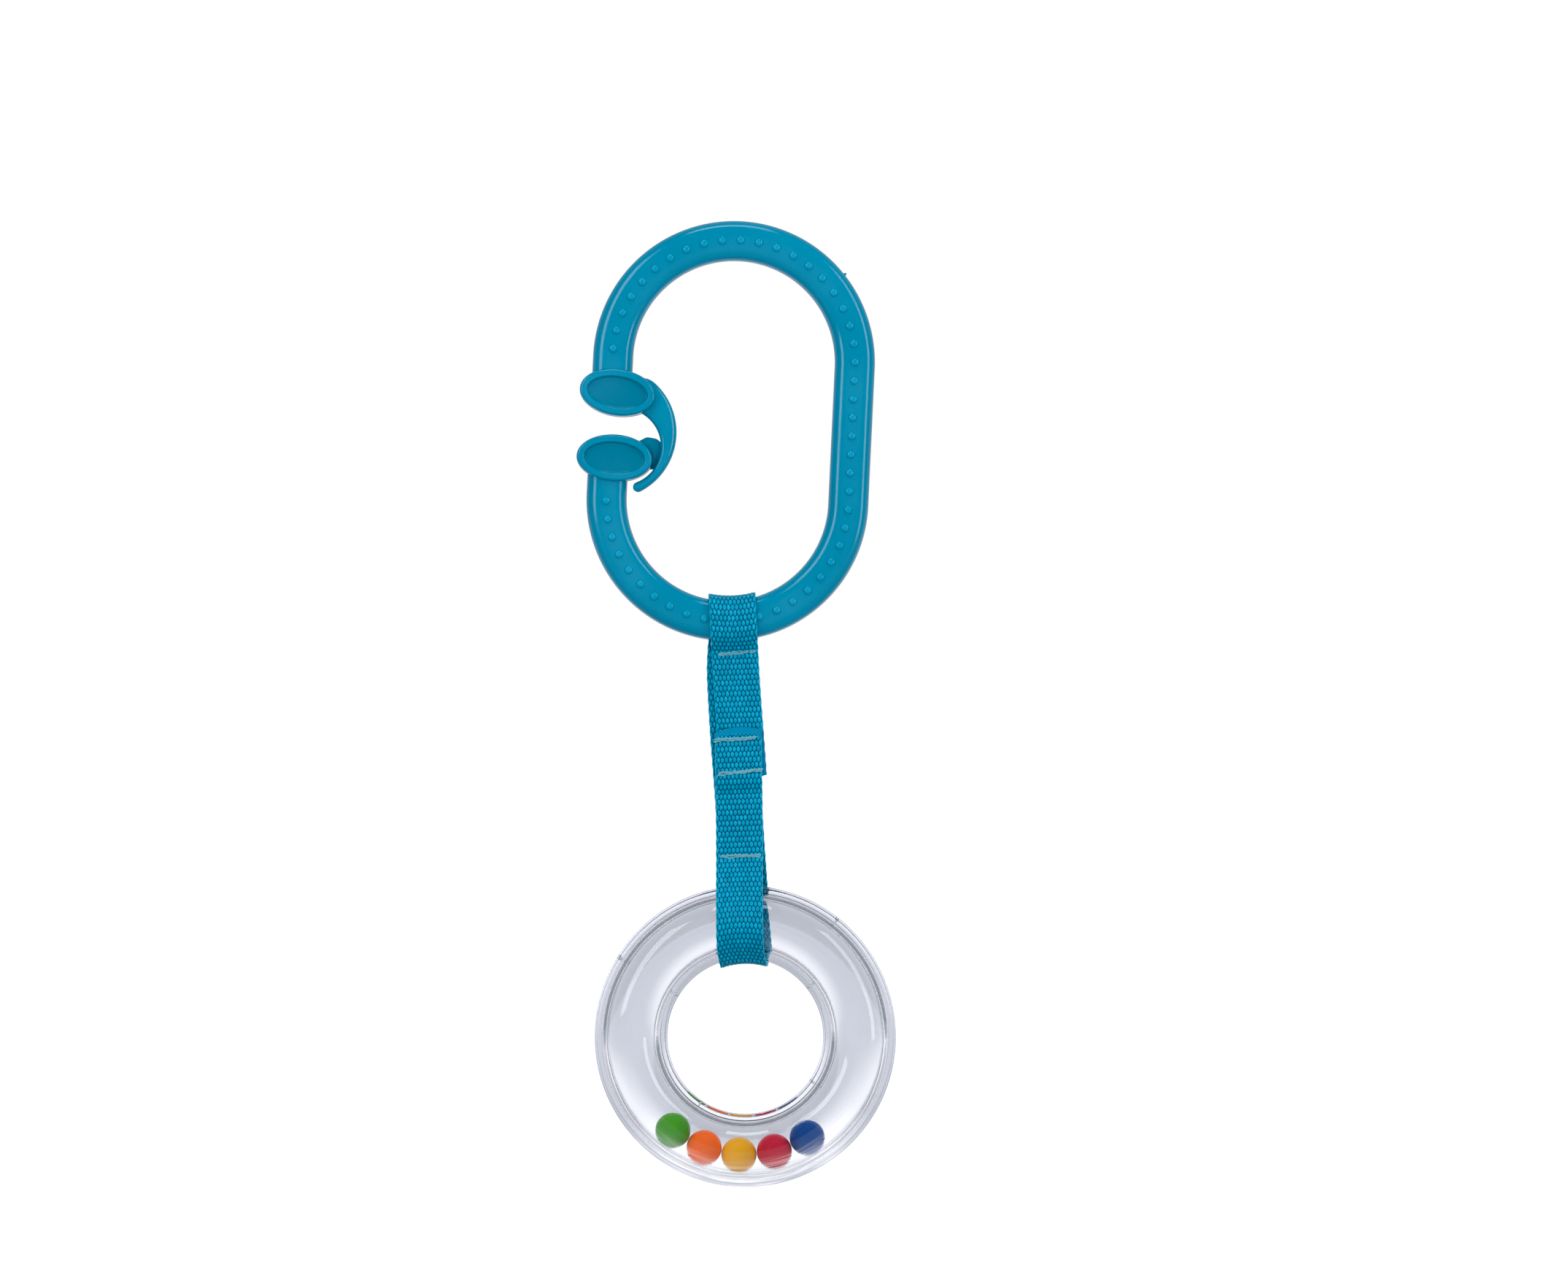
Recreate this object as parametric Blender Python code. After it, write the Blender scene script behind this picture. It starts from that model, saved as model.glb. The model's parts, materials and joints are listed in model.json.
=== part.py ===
"""Teething ring: a spring link, a sewn webbing strap and a clear ring of rolling beads.

The origin is the top of the link's window, where a finger or a hook holds it.
+Z is up, +X is to the right, and the front faces -Y. Sizes are in metres.
"""

import math

import bmesh
import bpy
from mathutils import Matrix, Vector

MM = 0.001

# ---- Driving dimensions -------------------------------------------------------

# Clearances between separate pieces
GAP = 0.3 * MM
THREAD_CLEARANCE = 0.2 * MM

# Link bar: two half circles joined by straights, open on the left
LINK_LEAN = math.radians(4.6)
LINK_CENTRES = 29.8 * MM
LINK_RADIUS = 26.1 * MM
BAR_WIDTH = 8.6 * MM
BAR_THICKNESS = 7.0 * MM
BAR_EDGE_RADIUS = 2.6 * MM

# Oval pads on the two ends of the bar, dished on both faces
PAD_LENGTH = 16.5 * MM
PAD_WIDTH = 10.2 * MM
PAD_THICKNESS = 8.8 * MM
PAD_RIM = 1.8 * MM
PAD_DISH = 0.7 * MM
PAD_EDGE = 0.5 * MM
PAD_GAP = 3.9 * MM
PAD_SHIFT = 1.4 * MM
UPPER_PAD_TILT = math.radians(6.0)
LOWER_PAD_TILT = math.radians(1.5)

# Springy hook from the upper pad, round the inner end of the lower pad
HOOK_OUTER_RADIUS = 14.4 * MM
HOOK_INNER_RADIUS = 8.2 * MM
HOOK_WIDTH = 3.25 * MM
HOOK_THICKNESS = 3.2 * MM
HOOK_RECESS = 1.6 * MM
HOOK_TO_PAD = 1.2 * MM
HOOK_INNER_RISE = 2.5 * MM
HOOK_OUTER_RISE = 3.0 * MM
HOOK_EDGE = 0.5 * MM
HOOK_ROOT_ANGLE = math.radians(60.0)
HOOK_TIP_ANGLE = math.radians(-60.0)
HOOK_OPENING = math.radians(12.0)

# Guide tongue on the lower pad, behind the hook
TONGUE_REACH = 3.2 * MM
TONGUE_LENGTH = 8.2 * MM
TONGUE_HEIGHT = 7.0 * MM
TONGUE_THICKNESS = 1.6 * MM
TONGUE_RISE = 1.3 * MM

# Webbing strap: one strip, sewn into a loop with its ends overlapped in front
STRAP_WIDTH = 10.0 * MM
STRAP_THICKNESS = 1.1 * MM
SEAM_BELOW_BAR = 2.6 * MM
OVERLAP_BELOW_SEAM = 16.4 * MM
OVERLAP_LENGTH = 10.4 * MM
OVERLAP_SEAM_INSET = 2.2 * MM
HIDDEN_SEAM_INSET = 1.1 * MM
OVERLAP_SLOPE = 2.4 * MM
SEAM_SPACING = 43.9 * MM
NECK_FROM_SEAM = 2.0 * MM
NECK_BEND = math.radians(90.0)
TWIST_FROM_OVERLAP = 8.3 * MM
KINK_FROM_SEAM = 0.5 * MM

# Stitches: thread passes through every layer of the seam
THREAD = 0.45 * MM
STITCH_PITCH = 2.0 * MM
STITCHES = 4

# Clear ring: two half shells, welded at flanges in the ring's own plane
RING_BELOW_SEAM = 6.4 * MM
TUBE_RADIUS = 6.5 * MM
TUBE_WALL = 1.5 * MM
RING_PATH_RADIUS = 24.65 * MM
FLANGE_WIDTH = 1.35 * MM
FLANGE_THICKNESS = 1.2 * MM

# Beads, resting side by side at the bottom of the ring's channel
BEAD_DIAMETER = 7.4 * MM
BEAD_ROW_TURN = math.radians(-5.0)

# Facets
BAR_STEPS = 24
SECTION_STEPS = 3
OVAL_SIDES = 40
HOOK_STEPS = 26
ARC_STEPS = 5
ACROSS_STEPS = 6
RING_STEPS = 48
TUBE_STEPS = 10
BEAD_RINGS = 9
BEAD_SIDES = 14
SHARP_ANGLE = math.radians(35.0)
ROUNDED_ANGLE = math.radians(40.0)

# ---- Worked out from the driving dimensions -----------------------------------

WINDOW_RADIUS = LINK_RADIUS - BAR_WIDTH / 2
LINK_PIVOT = Vector((
    -LINK_CENTRES * math.sin(LINK_LEAN),
    0.0,
    -WINDOW_RADIUS - LINK_CENTRES * math.cos(LINK_LEAN),
))

PAD_X = PAD_SHIFT - LINK_RADIUS
PAD_OFFSET = (PAD_GAP + PAD_WIDTH) / 2
UPPER_PAD = Vector((PAD_X, 0.0, LINK_CENTRES / 2 + PAD_OFFSET))
LOWER_PAD = Vector((PAD_X, 0.0, LINK_CENTRES / 2 - PAD_OFFSET))
PAD_END_RADIUS = PAD_WIDTH ** 2 / PAD_LENGTH / 2
HOOK_REACH = PAD_LENGTH / 2 - PAD_END_RADIUS
HOOK_PIVOT = UPPER_PAD + HOOK_REACH * Vector((math.cos(UPPER_PAD_TILT), 0.0, -math.sin(UPPER_PAD_TILT)))
HOOK_FRONT = -PAD_THICKNESS / 2 + HOOK_RECESS
HOOK_BACK = HOOK_FRONT + HOOK_THICKNESS
HOOK_INNER_CENTRE = LOWER_PAD + Vector((
    PAD_LENGTH / 2 + HOOK_TO_PAD - math.sqrt(HOOK_INNER_RADIUS ** 2 - HOOK_INNER_RISE ** 2),
    0.0,
    HOOK_INNER_RISE,
))
HOOK_OUTER_CENTRE = HOOK_INNER_CENTRE + Vector((
    HOOK_INNER_RADIUS + HOOK_WIDTH - HOOK_OUTER_RADIUS,
    0.0,
    HOOK_OUTER_RISE,
))

# Strap levels are heights above the centre of the bar, on the strap's own axis.
SEAM_1 = -(BAR_WIDTH / 2 + SEAM_BELOW_BAR)
OVERLAP_TOP = SEAM_1 - OVERLAP_BELOW_SEAM
HIDDEN_END = OVERLAP_TOP - OVERLAP_LENGTH
SEAM_2 = OVERLAP_TOP - OVERLAP_SEAM_INSET
SEAM_3 = HIDDEN_END + HIDDEN_SEAM_INSET
SEAM_4 = SEAM_1 - SEAM_SPACING
UPPER_NECK = SEAM_1 - NECK_FROM_SEAM
LOWER_NECK = SEAM_4 + NECK_FROM_SEAM
TWIST = HIDDEN_END - TWIST_FROM_OVERLAP
LAYER_Y = (GAP + STRAP_THICKNESS) / 2
OUTER_LAYER_Y = LAYER_Y + GAP + STRAP_THICKNESS

FLANGE_OUTER_RADIUS = RING_PATH_RADIUS + TUBE_RADIUS + FLANGE_WIDTH
FLANGE_INNER_RADIUS = RING_PATH_RADIUS - TUBE_RADIUS - FLANGE_WIDTH
CHANNEL_RADIUS = TUBE_RADIUS - TUBE_WALL
RING_CENTRE = SEAM_4 - RING_BELOW_SEAM - FLANGE_OUTER_RADIUS
BEAD_PATH_RADIUS = RING_PATH_RADIUS + CHANNEL_RADIUS - GAP - BEAD_DIAMETER / 2
BEAD_STEP = 2 * math.asin((BEAD_DIAMETER + GAP) / 2 / BEAD_PATH_RADIUS)

# ---- Helpers ------------------------------------------------------------------


def make_material(name, colour, roughness, metallic=0.0, alpha=1.0):
    material = bpy.data.materials.new(name)
    material.use_nodes = True
    shader = material.node_tree.nodes["Principled BSDF"]
    shader.inputs["Base Color"].default_value = (*colour, 1.0)
    shader.inputs["Roughness"].default_value = roughness
    shader.inputs["Metallic"].default_value = metallic
    shader.inputs["Alpha"].default_value = alpha
    return material


def make_object(name, bm, parent, offset=Vector(), material=None):
    """Turn bm into an object whose parent is a pivot, with its faces pointing out."""
    bmesh.ops.recalc_face_normals(bm, faces=bm.faces)
    mesh = bpy.data.meshes.new(name)
    bm.to_mesh(mesh)
    bm.free()
    mesh.shade_smooth()
    mesh.set_sharp_from_angle(angle=SHARP_ANGLE)
    obj = bpy.data.objects.new(name, mesh)
    bpy.context.scene.collection.objects.link(obj)
    obj.parent = parent
    obj.location = offset
    if material:
        mesh.materials.append(material)
    return obj


def make_pivot(name, place, parent=None, turn=0.0):
    """An empty at place, given in its parent's frame and turned about Y."""
    pivot = bpy.data.objects.new(name, None)
    bpy.context.scene.collection.objects.link(pivot)
    pivot.parent = parent
    pivot.location = place
    pivot.rotation_euler = (0.0, turn, 0.0)
    pivot.empty_display_size = 3 * MM
    return pivot


def combine(obj, guide, operation):
    """Join the guide to obj, or cut it away, and keep the guide out of the model."""
    guide.hide_render = True
    guide.display_type = "WIRE"
    modifier = obj.modifiers.new(guide.name, "BOOLEAN")
    modifier.operation = operation
    modifier.solver = "EXACT"
    modifier.object = guide


def round_edges(obj, width, segments=2):
    modifier = obj.modifiers.new("round_edges", "BEVEL")
    modifier.width = width
    modifier.segments = segments
    modifier.limit_method = "ANGLE"
    modifier.angle_limit = ROUNDED_ANGLE


def closed_loop(bm, points):
    verts = [bm.verts.new(point) for point in points]
    return [bm.edges.new((a, b)) for a, b in zip(verts, verts[1:] + verts[:1])]


def new_loop(result):
    """The edges of an extruded or spun loop that lie on its far end."""
    verts = {item for item in result if isinstance(item, bmesh.types.BMVert)}
    edges = [item for item in result if isinstance(item, bmesh.types.BMEdge)]
    return [edge for edge in edges if set(edge.verts) <= verts]


def extrude_loop(bm, edges, move):
    result = bmesh.ops.extrude_edge_only(bm, edges=edges)["geom"]
    verts = [item for item in result if isinstance(item, bmesh.types.BMVert)]
    bmesh.ops.translate(bm, verts=verts, vec=move)
    return new_loop(result)


def spin_loop(bm, edges, centre, angle, steps):
    verts = list({vert for edge in edges for vert in edge.verts})
    result = bmesh.ops.spin(bm, geom=verts + edges, cent=centre, axis=(0, 1, 0), angle=angle, steps=steps)
    return new_loop(result["geom_last"])


def turn_about(centre, angle):
    """Turn about the Y axis through centre, clockwise as seen from the front."""
    return Matrix.Translation(centre) @ Matrix.Rotation(angle, 4, "Y") @ Matrix.Translation(-centre)


def oval_cylinder(centre, length, width, front, back, tilt=0.0):
    """A cylinder of oval section along Y, from the front face to the back face."""
    bm = bmesh.new()
    bmesh.ops.create_cone(bm, cap_ends=True, segments=OVAL_SIDES, radius1=0.5, radius2=0.5, depth=1.0)
    middle = centre + Vector((0.0, (front + back) / 2, 0.0))
    size = Matrix.Diagonal((length, width, back - front, 1.0))
    place = Matrix.Translation(middle) @ Matrix.Rotation(tilt, 4, "Y") @ Matrix.Rotation(math.pi / 2, 4, "X")
    bmesh.ops.transform(bm, matrix=place @ size, verts=bm.verts)
    return bm


# ---- Link ---------------------------------------------------------------------


def bar_section(width, thickness, radius):
    """A rounded rectangle, width along X and thickness along Y, about the origin."""
    points = []
    for corner in range(4):
        middle = math.pi / 4 + corner * math.pi / 2
        centre_x = math.copysign(width / 2 - radius, math.cos(middle))
        centre_y = math.copysign(thickness / 2 - radius, math.sin(middle))
        for step in range(SECTION_STEPS + 1):
            angle = corner * math.pi / 2 + step * math.pi / 2 / SECTION_STEPS
            points.append((centre_x + radius * math.cos(angle), centre_y + radius * math.sin(angle)))
    return points


def make_link_frame(pivot, material):
    """The bar from the lower pad, round both ends of the link, to the upper pad."""
    bm = bmesh.new()
    section = bar_section(BAR_WIDTH, BAR_THICKNESS, BAR_EDGE_RADIUS)
    start = closed_loop(bm, [(x - LINK_RADIUS, y, LOWER_PAD.z) for x, y in section])
    low = extrude_loop(bm, start, Vector((0.0, 0.0, -LOWER_PAD.z)))
    right = spin_loop(bm, low, (0.0, 0.0, 0.0), -math.pi, BAR_STEPS)
    right = extrude_loop(bm, right, Vector((0.0, 0.0, LINK_CENTRES)))
    top = spin_loop(bm, right, (0.0, 0.0, LINK_CENTRES), -math.pi, BAR_STEPS)
    end = extrude_loop(bm, top, Vector((0.0, 0.0, UPPER_PAD.z - LINK_CENTRES)))
    bmesh.ops.contextual_create(bm, geom=start)
    bmesh.ops.contextual_create(bm, geom=end)
    frame = make_object("link_frame", bm, pivot, material=material)
    combine(frame, make_pad("upper_pad", UPPER_PAD, UPPER_PAD_TILT, pivot), "UNION")
    combine(frame, make_pad("lower_pad", LOWER_PAD, LOWER_PAD_TILT, pivot), "UNION")
    combine(frame, make_tongue(pivot), "UNION")
    return frame


def make_pad(name, centre, tilt, pivot):
    """An oval pad with a raised rim and a flat-bottomed dish on each face."""
    bm = oval_cylinder(centre, PAD_LENGTH, PAD_WIDTH, -PAD_THICKNESS / 2, PAD_THICKNESS / 2, tilt)
    faces = [face for face in bm.faces if len(face.verts) > 4]
    for face in faces:
        bmesh.ops.inset_region(bm, faces=[face], thickness=PAD_RIM)
        bmesh.ops.inset_region(bm, faces=[face], thickness=PAD_DISH / 2, depth=-PAD_DISH)
    pad = make_object(name, bm, pivot)
    round_edges(pad, PAD_EDGE)
    return pad


def make_tongue(pivot):
    """The guide on the lower pad's inner end, just behind the hook."""
    reach = PAD_LENGTH / 2 + TONGUE_REACH - TONGUE_LENGTH / 2
    centre = LOWER_PAD + Vector((reach, 0.0, TONGUE_RISE))
    front = HOOK_BACK + GAP
    bm = oval_cylinder(centre, TONGUE_LENGTH, TONGUE_HEIGHT, front, front + TONGUE_THICKNESS)
    return make_object("tongue", bm, pivot)


def hook_edges(angle):
    """Inner and outer edge of the hook on a ray from its outer arc's centre."""
    ray = Vector((math.cos(angle), 0.0, math.sin(angle)))
    offset = HOOK_OUTER_CENTRE - HOOK_INNER_CENTRE
    along = offset.dot(ray)
    inner = math.sqrt(along ** 2 - offset.length_squared + HOOK_INNER_RADIUS ** 2) - along
    return HOOK_OUTER_CENTRE + inner * ray, HOOK_OUTER_CENTRE + HOOK_OUTER_RADIUS * ray


def make_hook(parent, link_pivot, material):
    """A crescent arm with a round tip, cut clear of the upper pad it swings on."""
    inner_edge = []
    outer_edge = []
    for step in range(HOOK_STEPS + 1):
        angle = HOOK_ROOT_ANGLE + (HOOK_TIP_ANGLE - HOOK_ROOT_ANGLE) * step / HOOK_STEPS
        inner, outer = hook_edges(angle)
        inner_edge.append(inner)
        outer_edge.append(outer)
    tip = (inner_edge[-1] + outer_edge[-1]) / 2
    spoke = outer_edge[-1] - tip
    round_tip = [tip + Matrix.Rotation(math.pi * step / ARC_STEPS, 3, "Y") @ spoke for step in range(1, ARC_STEPS)]
    outline = outer_edge + round_tip + inner_edge[::-1]

    bm = bmesh.new()
    front = Vector((0.0, HOOK_FRONT, 0.0)) - HOOK_PIVOT
    edges = closed_loop(bm, [point + front for point in outline])
    far = extrude_loop(bm, edges, Vector((0.0, HOOK_THICKNESS, 0.0)))
    bmesh.ops.contextual_create(bm, geom=edges)
    bmesh.ops.contextual_create(bm, geom=far)
    hook = make_object("link_hook", bm, parent, material=material)
    round_edges(hook, HOOK_EDGE)

    half_pad = PAD_THICKNESS / 2
    for name, opening in (("pad_when_shut", 0.0), ("pad_half_open", 0.5), ("pad_when_open", 1.0)):
        cutter = oval_cylinder(
            UPPER_PAD, PAD_LENGTH + 2 * GAP, PAD_WIDTH + 2 * GAP, -half_pad, half_pad, UPPER_PAD_TILT)
        swing = turn_about(HOOK_PIVOT, opening * HOOK_OPENING)
        bmesh.ops.transform(cutter, matrix=swing, verts=cutter.verts)
        combine(hook, make_object(name, cutter, link_pivot), "DIFFERENCE")
    return hook


# ---- Strap --------------------------------------------------------------------


def tangent_normal(centre_1, radius_1, centre_2, radius_2):
    """Normal, towards -Y, of the straight run that touches two circles."""
    across = centre_2 - centre_1
    lean = (radius_1 - radius_2) / across.length
    along = across.normalized()
    side = Vector((0.0, -abs(along.z), 0.0))
    side.z = along.y if along.z > 0 else -along.y
    return along * lean + side * math.sqrt(1 - lean ** 2)


def wrap(circles, last_normal):
    """Front half of a strap's centreline round circles, given as (centre, radius)."""
    points = [circles[0][0]]
    before = None
    for number, (centre, radius) in enumerate(circles):
        if number + 1 < len(circles):
            after = tangent_normal(centre, radius, *circles[number + 1])
        else:
            after = last_normal
        if before is not None:
            turn = before.angle(after)
            axis = before.cross(after).normalized()
            for step in range(ARC_STEPS + 1):
                spoke = Matrix.Rotation(turn * step / ARC_STEPS, 3, axis) @ before
                points.append(centre + radius * spoke)
        before = after
    return points


def mirror_back(front):
    """The front half of a centreline and its mirror image behind it."""
    back = [Vector((0.0, -point.y, point.z)) for point in reversed(front)]
    if (front[-1] - back[0]).length < GAP:
        back = back[1:]
    return front + back


def strip(path, bow=None):
    """A strip of webbing along a centreline in the YZ plane, as a closed solid.

    bow moves a point of the centreline up or down at a distance x across the strip.
    """
    sides = []
    for number, point in enumerate(path):
        before = path[max(number - 1, 0)]
        after = path[min(number + 1, len(path) - 1)]
        run_in = (point - before).normalized() if number else (after - point).normalized()
        run_out = (after - point).normalized() if number + 1 < len(path) else run_in
        run = (run_in + run_out).normalized()
        half = STRAP_THICKNESS / 2 / run.dot(run_in)
        normal = Vector((0.0, -run.z, run.y))
        sides.append((point + half * normal, point - half * normal, point))

    bm = bmesh.new()
    rows = []
    for step in range(ACROSS_STEPS + 1):
        x = STRAP_WIDTH * (step / ACROSS_STEPS - 0.5)
        row = []
        for left, right, middle in sides:
            shift = bow(x, middle) if bow else 0.0
            row.append([bm.verts.new(side + Vector((x, 0.0, shift))) for side in (left, right)])
        rows.append(row)
    for row, following in zip(rows, rows[1:]):
        for (a, b), (c, d), (e, f), (g, h) in zip(row, row[1:], following, following[1:]):
            bm.faces.new((a, c, g, e))
            bm.faces.new((b, f, h, d))
        for end in (0, -1):
            bm.faces.new((row[end][0], following[end][0], following[end][1], row[end][1]))
    for row in (rows[0], rows[-1]):
        for (a, b), (c, d) in zip(row, row[1:]):
            bm.faces.new((a, b, d, c))
    return bm


def mitre(bm, level, neck):
    """Slope the strip's end at this level, so that it can swing about the neck."""
    away = math.copysign(1.0, level - neck)
    for vert in bm.verts:
        if abs(vert.co.z - level) < GAP:
            vert.co.z = neck + away * (abs(vert.co.y) * math.tan(NECK_BEND / 2) + GAP / 2)


def bar_bow(x, point):
    """Rise of the upper loop's sides, which follow the curve of the link's bar."""
    kink = SEAM_1 + KINK_FROM_SEAM
    share = min(max((point.z - kink) / (-BAR_WIDTH / 2 - kink), 0.0), 1.0)
    radius = LINK_RADIUS - point.z
    return share * (radius - math.sqrt(radius ** 2 - x ** 2))


def ring_bow(x, point):
    """Drop of the lower loop's sides, which follow the curve of the ring."""
    kink = SEAM_4 - KINK_FROM_SEAM
    tube = RING_CENTRE + RING_PATH_RADIUS
    share = min(max((kink - point.z) / (kink - tube), 0.0), 1.0)
    radius = point.z - RING_CENTRE
    return -share * (radius - math.sqrt(radius ** 2 - x ** 2))


def upper_loop_path():
    """Up from the neck, over the link's bar and down again."""
    y = BAR_THICKNESS / 2 - BAR_EDGE_RADIUS
    z = BAR_WIDTH / 2 - BAR_EDGE_RADIUS
    radius = BAR_EDGE_RADIUS + GAP + STRAP_THICKNESS / 2
    kink = Vector((0.0, -LAYER_Y, SEAM_1 + KINK_FROM_SEAM))
    corners = [(kink, 0.0), (Vector((0.0, -y, -z)), radius), (Vector((0.0, -y, z)), radius)]
    end = Vector((0.0, -LAYER_Y, UPPER_NECK + LAYER_Y))
    return mirror_back([end] + wrap(corners, Vector((0.0, 0.0, 1.0))))


def lower_loop_path():
    """Down from the neck, round the ring's tube and its inner flange and up again."""
    kink = Vector((0.0, -LAYER_Y, SEAM_4 - KINK_FROM_SEAM))
    tube = Vector((0.0, 0.0, RING_CENTRE + RING_PATH_RADIUS))
    tube_radius = TUBE_RADIUS + GAP / 2 + GAP + STRAP_THICKNESS / 2
    corner = Vector((0.0, -FLANGE_THICKNESS - GAP / 2, RING_CENTRE + FLANGE_INNER_RADIUS))
    corner_radius = GAP + STRAP_THICKNESS / 2
    end = Vector((0.0, -LAYER_Y, LOWER_NECK - LAYER_Y))
    circles = [(kink, 0.0), (tube, tube_radius), (corner, corner_radius)]
    return mirror_back([end] + wrap(circles, Vector((0.0, 0.0, -1.0))))


def layer(y, top, bottom):
    return strip([Vector((0.0, y, top)), Vector((0.0, y, bottom))])


def overlap_path():
    """Over the strap's hidden end, then in against the layer behind."""
    past_end = HIDDEN_END - GAP
    return [
        Vector((0.0, -OUTER_LAYER_Y, OVERLAP_TOP)),
        Vector((0.0, -OUTER_LAYER_Y, past_end)),
        Vector((0.0, -LAYER_Y, past_end - OVERLAP_SLOPE)),
        Vector((0.0, -LAYER_Y, TWIST + GAP / 2)),
    ]


def stitch_places():
    half = STITCH_PITCH * STITCHES / 2
    return [STITCH_PITCH * number - half for number in range(STITCHES + 1)]


def make_seam(name, level, front, back, parent, offset, material):
    """One row of stitches: a line of thread on each face, joined through the layers."""
    posts = stitch_places()
    x_lines = [x + side * THREAD / 2 for x in posts for side in (-1, 1)]
    front_line = front - THREAD_CLEARANCE
    back_line = back + THREAD_CLEARANCE
    y_lines = [front_line - THREAD, front_line, back_line, back_line + THREAD]
    bm = bmesh.new()
    bottom = level - THREAD / 2
    grid = [[bm.verts.new((x, y, bottom)) for y in y_lines] for x in x_lines]
    for column, (left, right) in enumerate(zip(grid, grid[1:])):
        for row in range(len(y_lines) - 1):
            is_post = column % 2 == 0
            is_thread = row != 1
            if is_post or is_thread:
                bm.faces.new((left[row], left[row + 1], right[row + 1], right[row]))
    result = bmesh.ops.extrude_face_region(bm, geom=list(bm.faces))["geom"]
    verts = [item for item in result if isinstance(item, bmesh.types.BMVert)]
    bmesh.ops.translate(bm, verts=verts, vec=(0.0, 0.0, THREAD))
    return make_object(name, bm, parent, offset, material)


def make_needle_holes(name, level, parent, offset):
    """Cutter for the holes that one row of stitches passes through."""
    bm = bmesh.new()
    width = THREAD + 2 * THREAD_CLEARANCE
    for x in stitch_places():
        place = Matrix.Translation((x, 0.0, level))
        bmesh.ops.create_cube(bm, size=1.0, matrix=place @ Matrix.Diagonal((width, STRAP_WIDTH, width, 1.0)))
    return make_object(name, bm, parent, offset)


def make_strap(loop_pivot, neck, twist, low_neck, webbing, thread):
    """All of the strap's runs and its four rows of stitches."""
    bar = Vector((0.0, 0.0, -LINK_RADIUS))
    on_neck = Vector((0.0, 0.0, -UPPER_NECK))
    on_twist = Vector((0.0, 0.0, -TWIST))
    on_low_neck = Vector((0.0, 0.0, -LOWER_NECK))
    neck_top = UPPER_NECK - LAYER_Y
    neck_bottom = LOWER_NECK + LAYER_Y
    twist_top = TWIST + GAP / 2
    twist_bottom = TWIST - GAP / 2

    upper_loop = strip(upper_loop_path(), bar_bow)
    mitre(upper_loop, UPPER_NECK + LAYER_Y, UPPER_NECK)
    upper_loop = make_object("strap_upper_loop", upper_loop, loop_pivot, bar, webbing)

    back_upper = layer(LAYER_Y, neck_top, twist_top)
    mitre(back_upper, neck_top, UPPER_NECK)
    back_upper = make_object("strap_back_upper", back_upper, neck, on_neck, webbing)

    front_upper = layer(-LAYER_Y, neck_top, HIDDEN_END)
    mitre(front_upper, neck_top, UPPER_NECK)
    front_upper = make_object("strap_front_upper", front_upper, neck, on_neck, webbing)

    overlap = make_object("strap_overlap", strip(overlap_path()), neck, on_neck, webbing)

    for name, y in (("strap_back_lower", LAYER_Y), ("strap_front_lower", -LAYER_Y)):
        run = layer(y, twist_bottom, neck_bottom)
        mitre(run, neck_bottom, LOWER_NECK)
        make_object(name, run, twist, on_twist, webbing)

    lower_loop = strip(lower_loop_path(), ring_bow)
    mitre(lower_loop, LOWER_NECK - LAYER_Y, LOWER_NECK)
    lower_loop = make_object("strap_lower_loop", lower_loop, low_neck, on_low_neck, webbing)

    stack = LAYER_Y + STRAP_THICKNESS / 2
    outer_stack = OUTER_LAYER_Y + STRAP_THICKNESS / 2
    middle = (back_upper, front_upper, overlap)
    for name, level, front, parent, offset, layers in (
        ("seam_upper_loop", SEAM_1, -stack, loop_pivot, bar, (upper_loop,)),
        ("seam_overlap_top", SEAM_2, -outer_stack, neck, on_neck, middle),
        ("seam_overlap_bottom", SEAM_3, -outer_stack, neck, on_neck, middle),
        ("seam_lower_loop", SEAM_4, -stack, low_neck, on_low_neck, (lower_loop,)),
    ):
        make_seam(name, level, front, stack, parent, offset, thread)
        holes = make_needle_holes("holes_" + name, level, parent, offset)
        for run in layers:
            combine(run, holes, "DIFFERENCE")


# ---- Ring and beads -----------------------------------------------------------


def shell_profile():
    """Section of the front shell, as (radius, y) points round a closed outline."""
    seam = -GAP / 2
    flange = seam - FLANGE_THICKNESS
    foot = math.asin(FLANGE_THICKNESS / TUBE_RADIUS)
    points = [(FLANGE_OUTER_RADIUS, seam), (FLANGE_OUTER_RADIUS, flange)]
    for step in range(TUBE_STEPS + 1):
        angle = foot + (math.pi - 2 * foot) * step / TUBE_STEPS
        points.append((RING_PATH_RADIUS + TUBE_RADIUS * math.cos(angle), seam - TUBE_RADIUS * math.sin(angle)))
    points += [(FLANGE_INNER_RADIUS, flange), (FLANGE_INNER_RADIUS, seam)]
    for step in range(TUBE_STEPS + 1):
        angle = math.pi * (1 - step / TUBE_STEPS)
        radius = RING_PATH_RADIUS + CHANNEL_RADIUS * math.cos(angle)
        points.append((radius, seam - CHANNEL_RADIUS * math.sin(angle)))
    return points


def make_shell(name, side, parent, material):
    """Half of the ring: side is 1 for the front shell and -1 for the back one."""
    bm = bmesh.new()
    edges = closed_loop(bm, [(radius, side * y, 0.0) for radius, y in shell_profile()])
    verts = list({vert for edge in edges for vert in edge.verts})
    bmesh.ops.spin(bm, geom=verts + edges, cent=(0, 0, 0), axis=(0, 1, 0), angle=2 * math.pi, steps=RING_STEPS)
    bmesh.ops.remove_doubles(bm, verts=bm.verts, dist=MM / 1000)
    return make_object(name, bm, parent, material=material)


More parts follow.
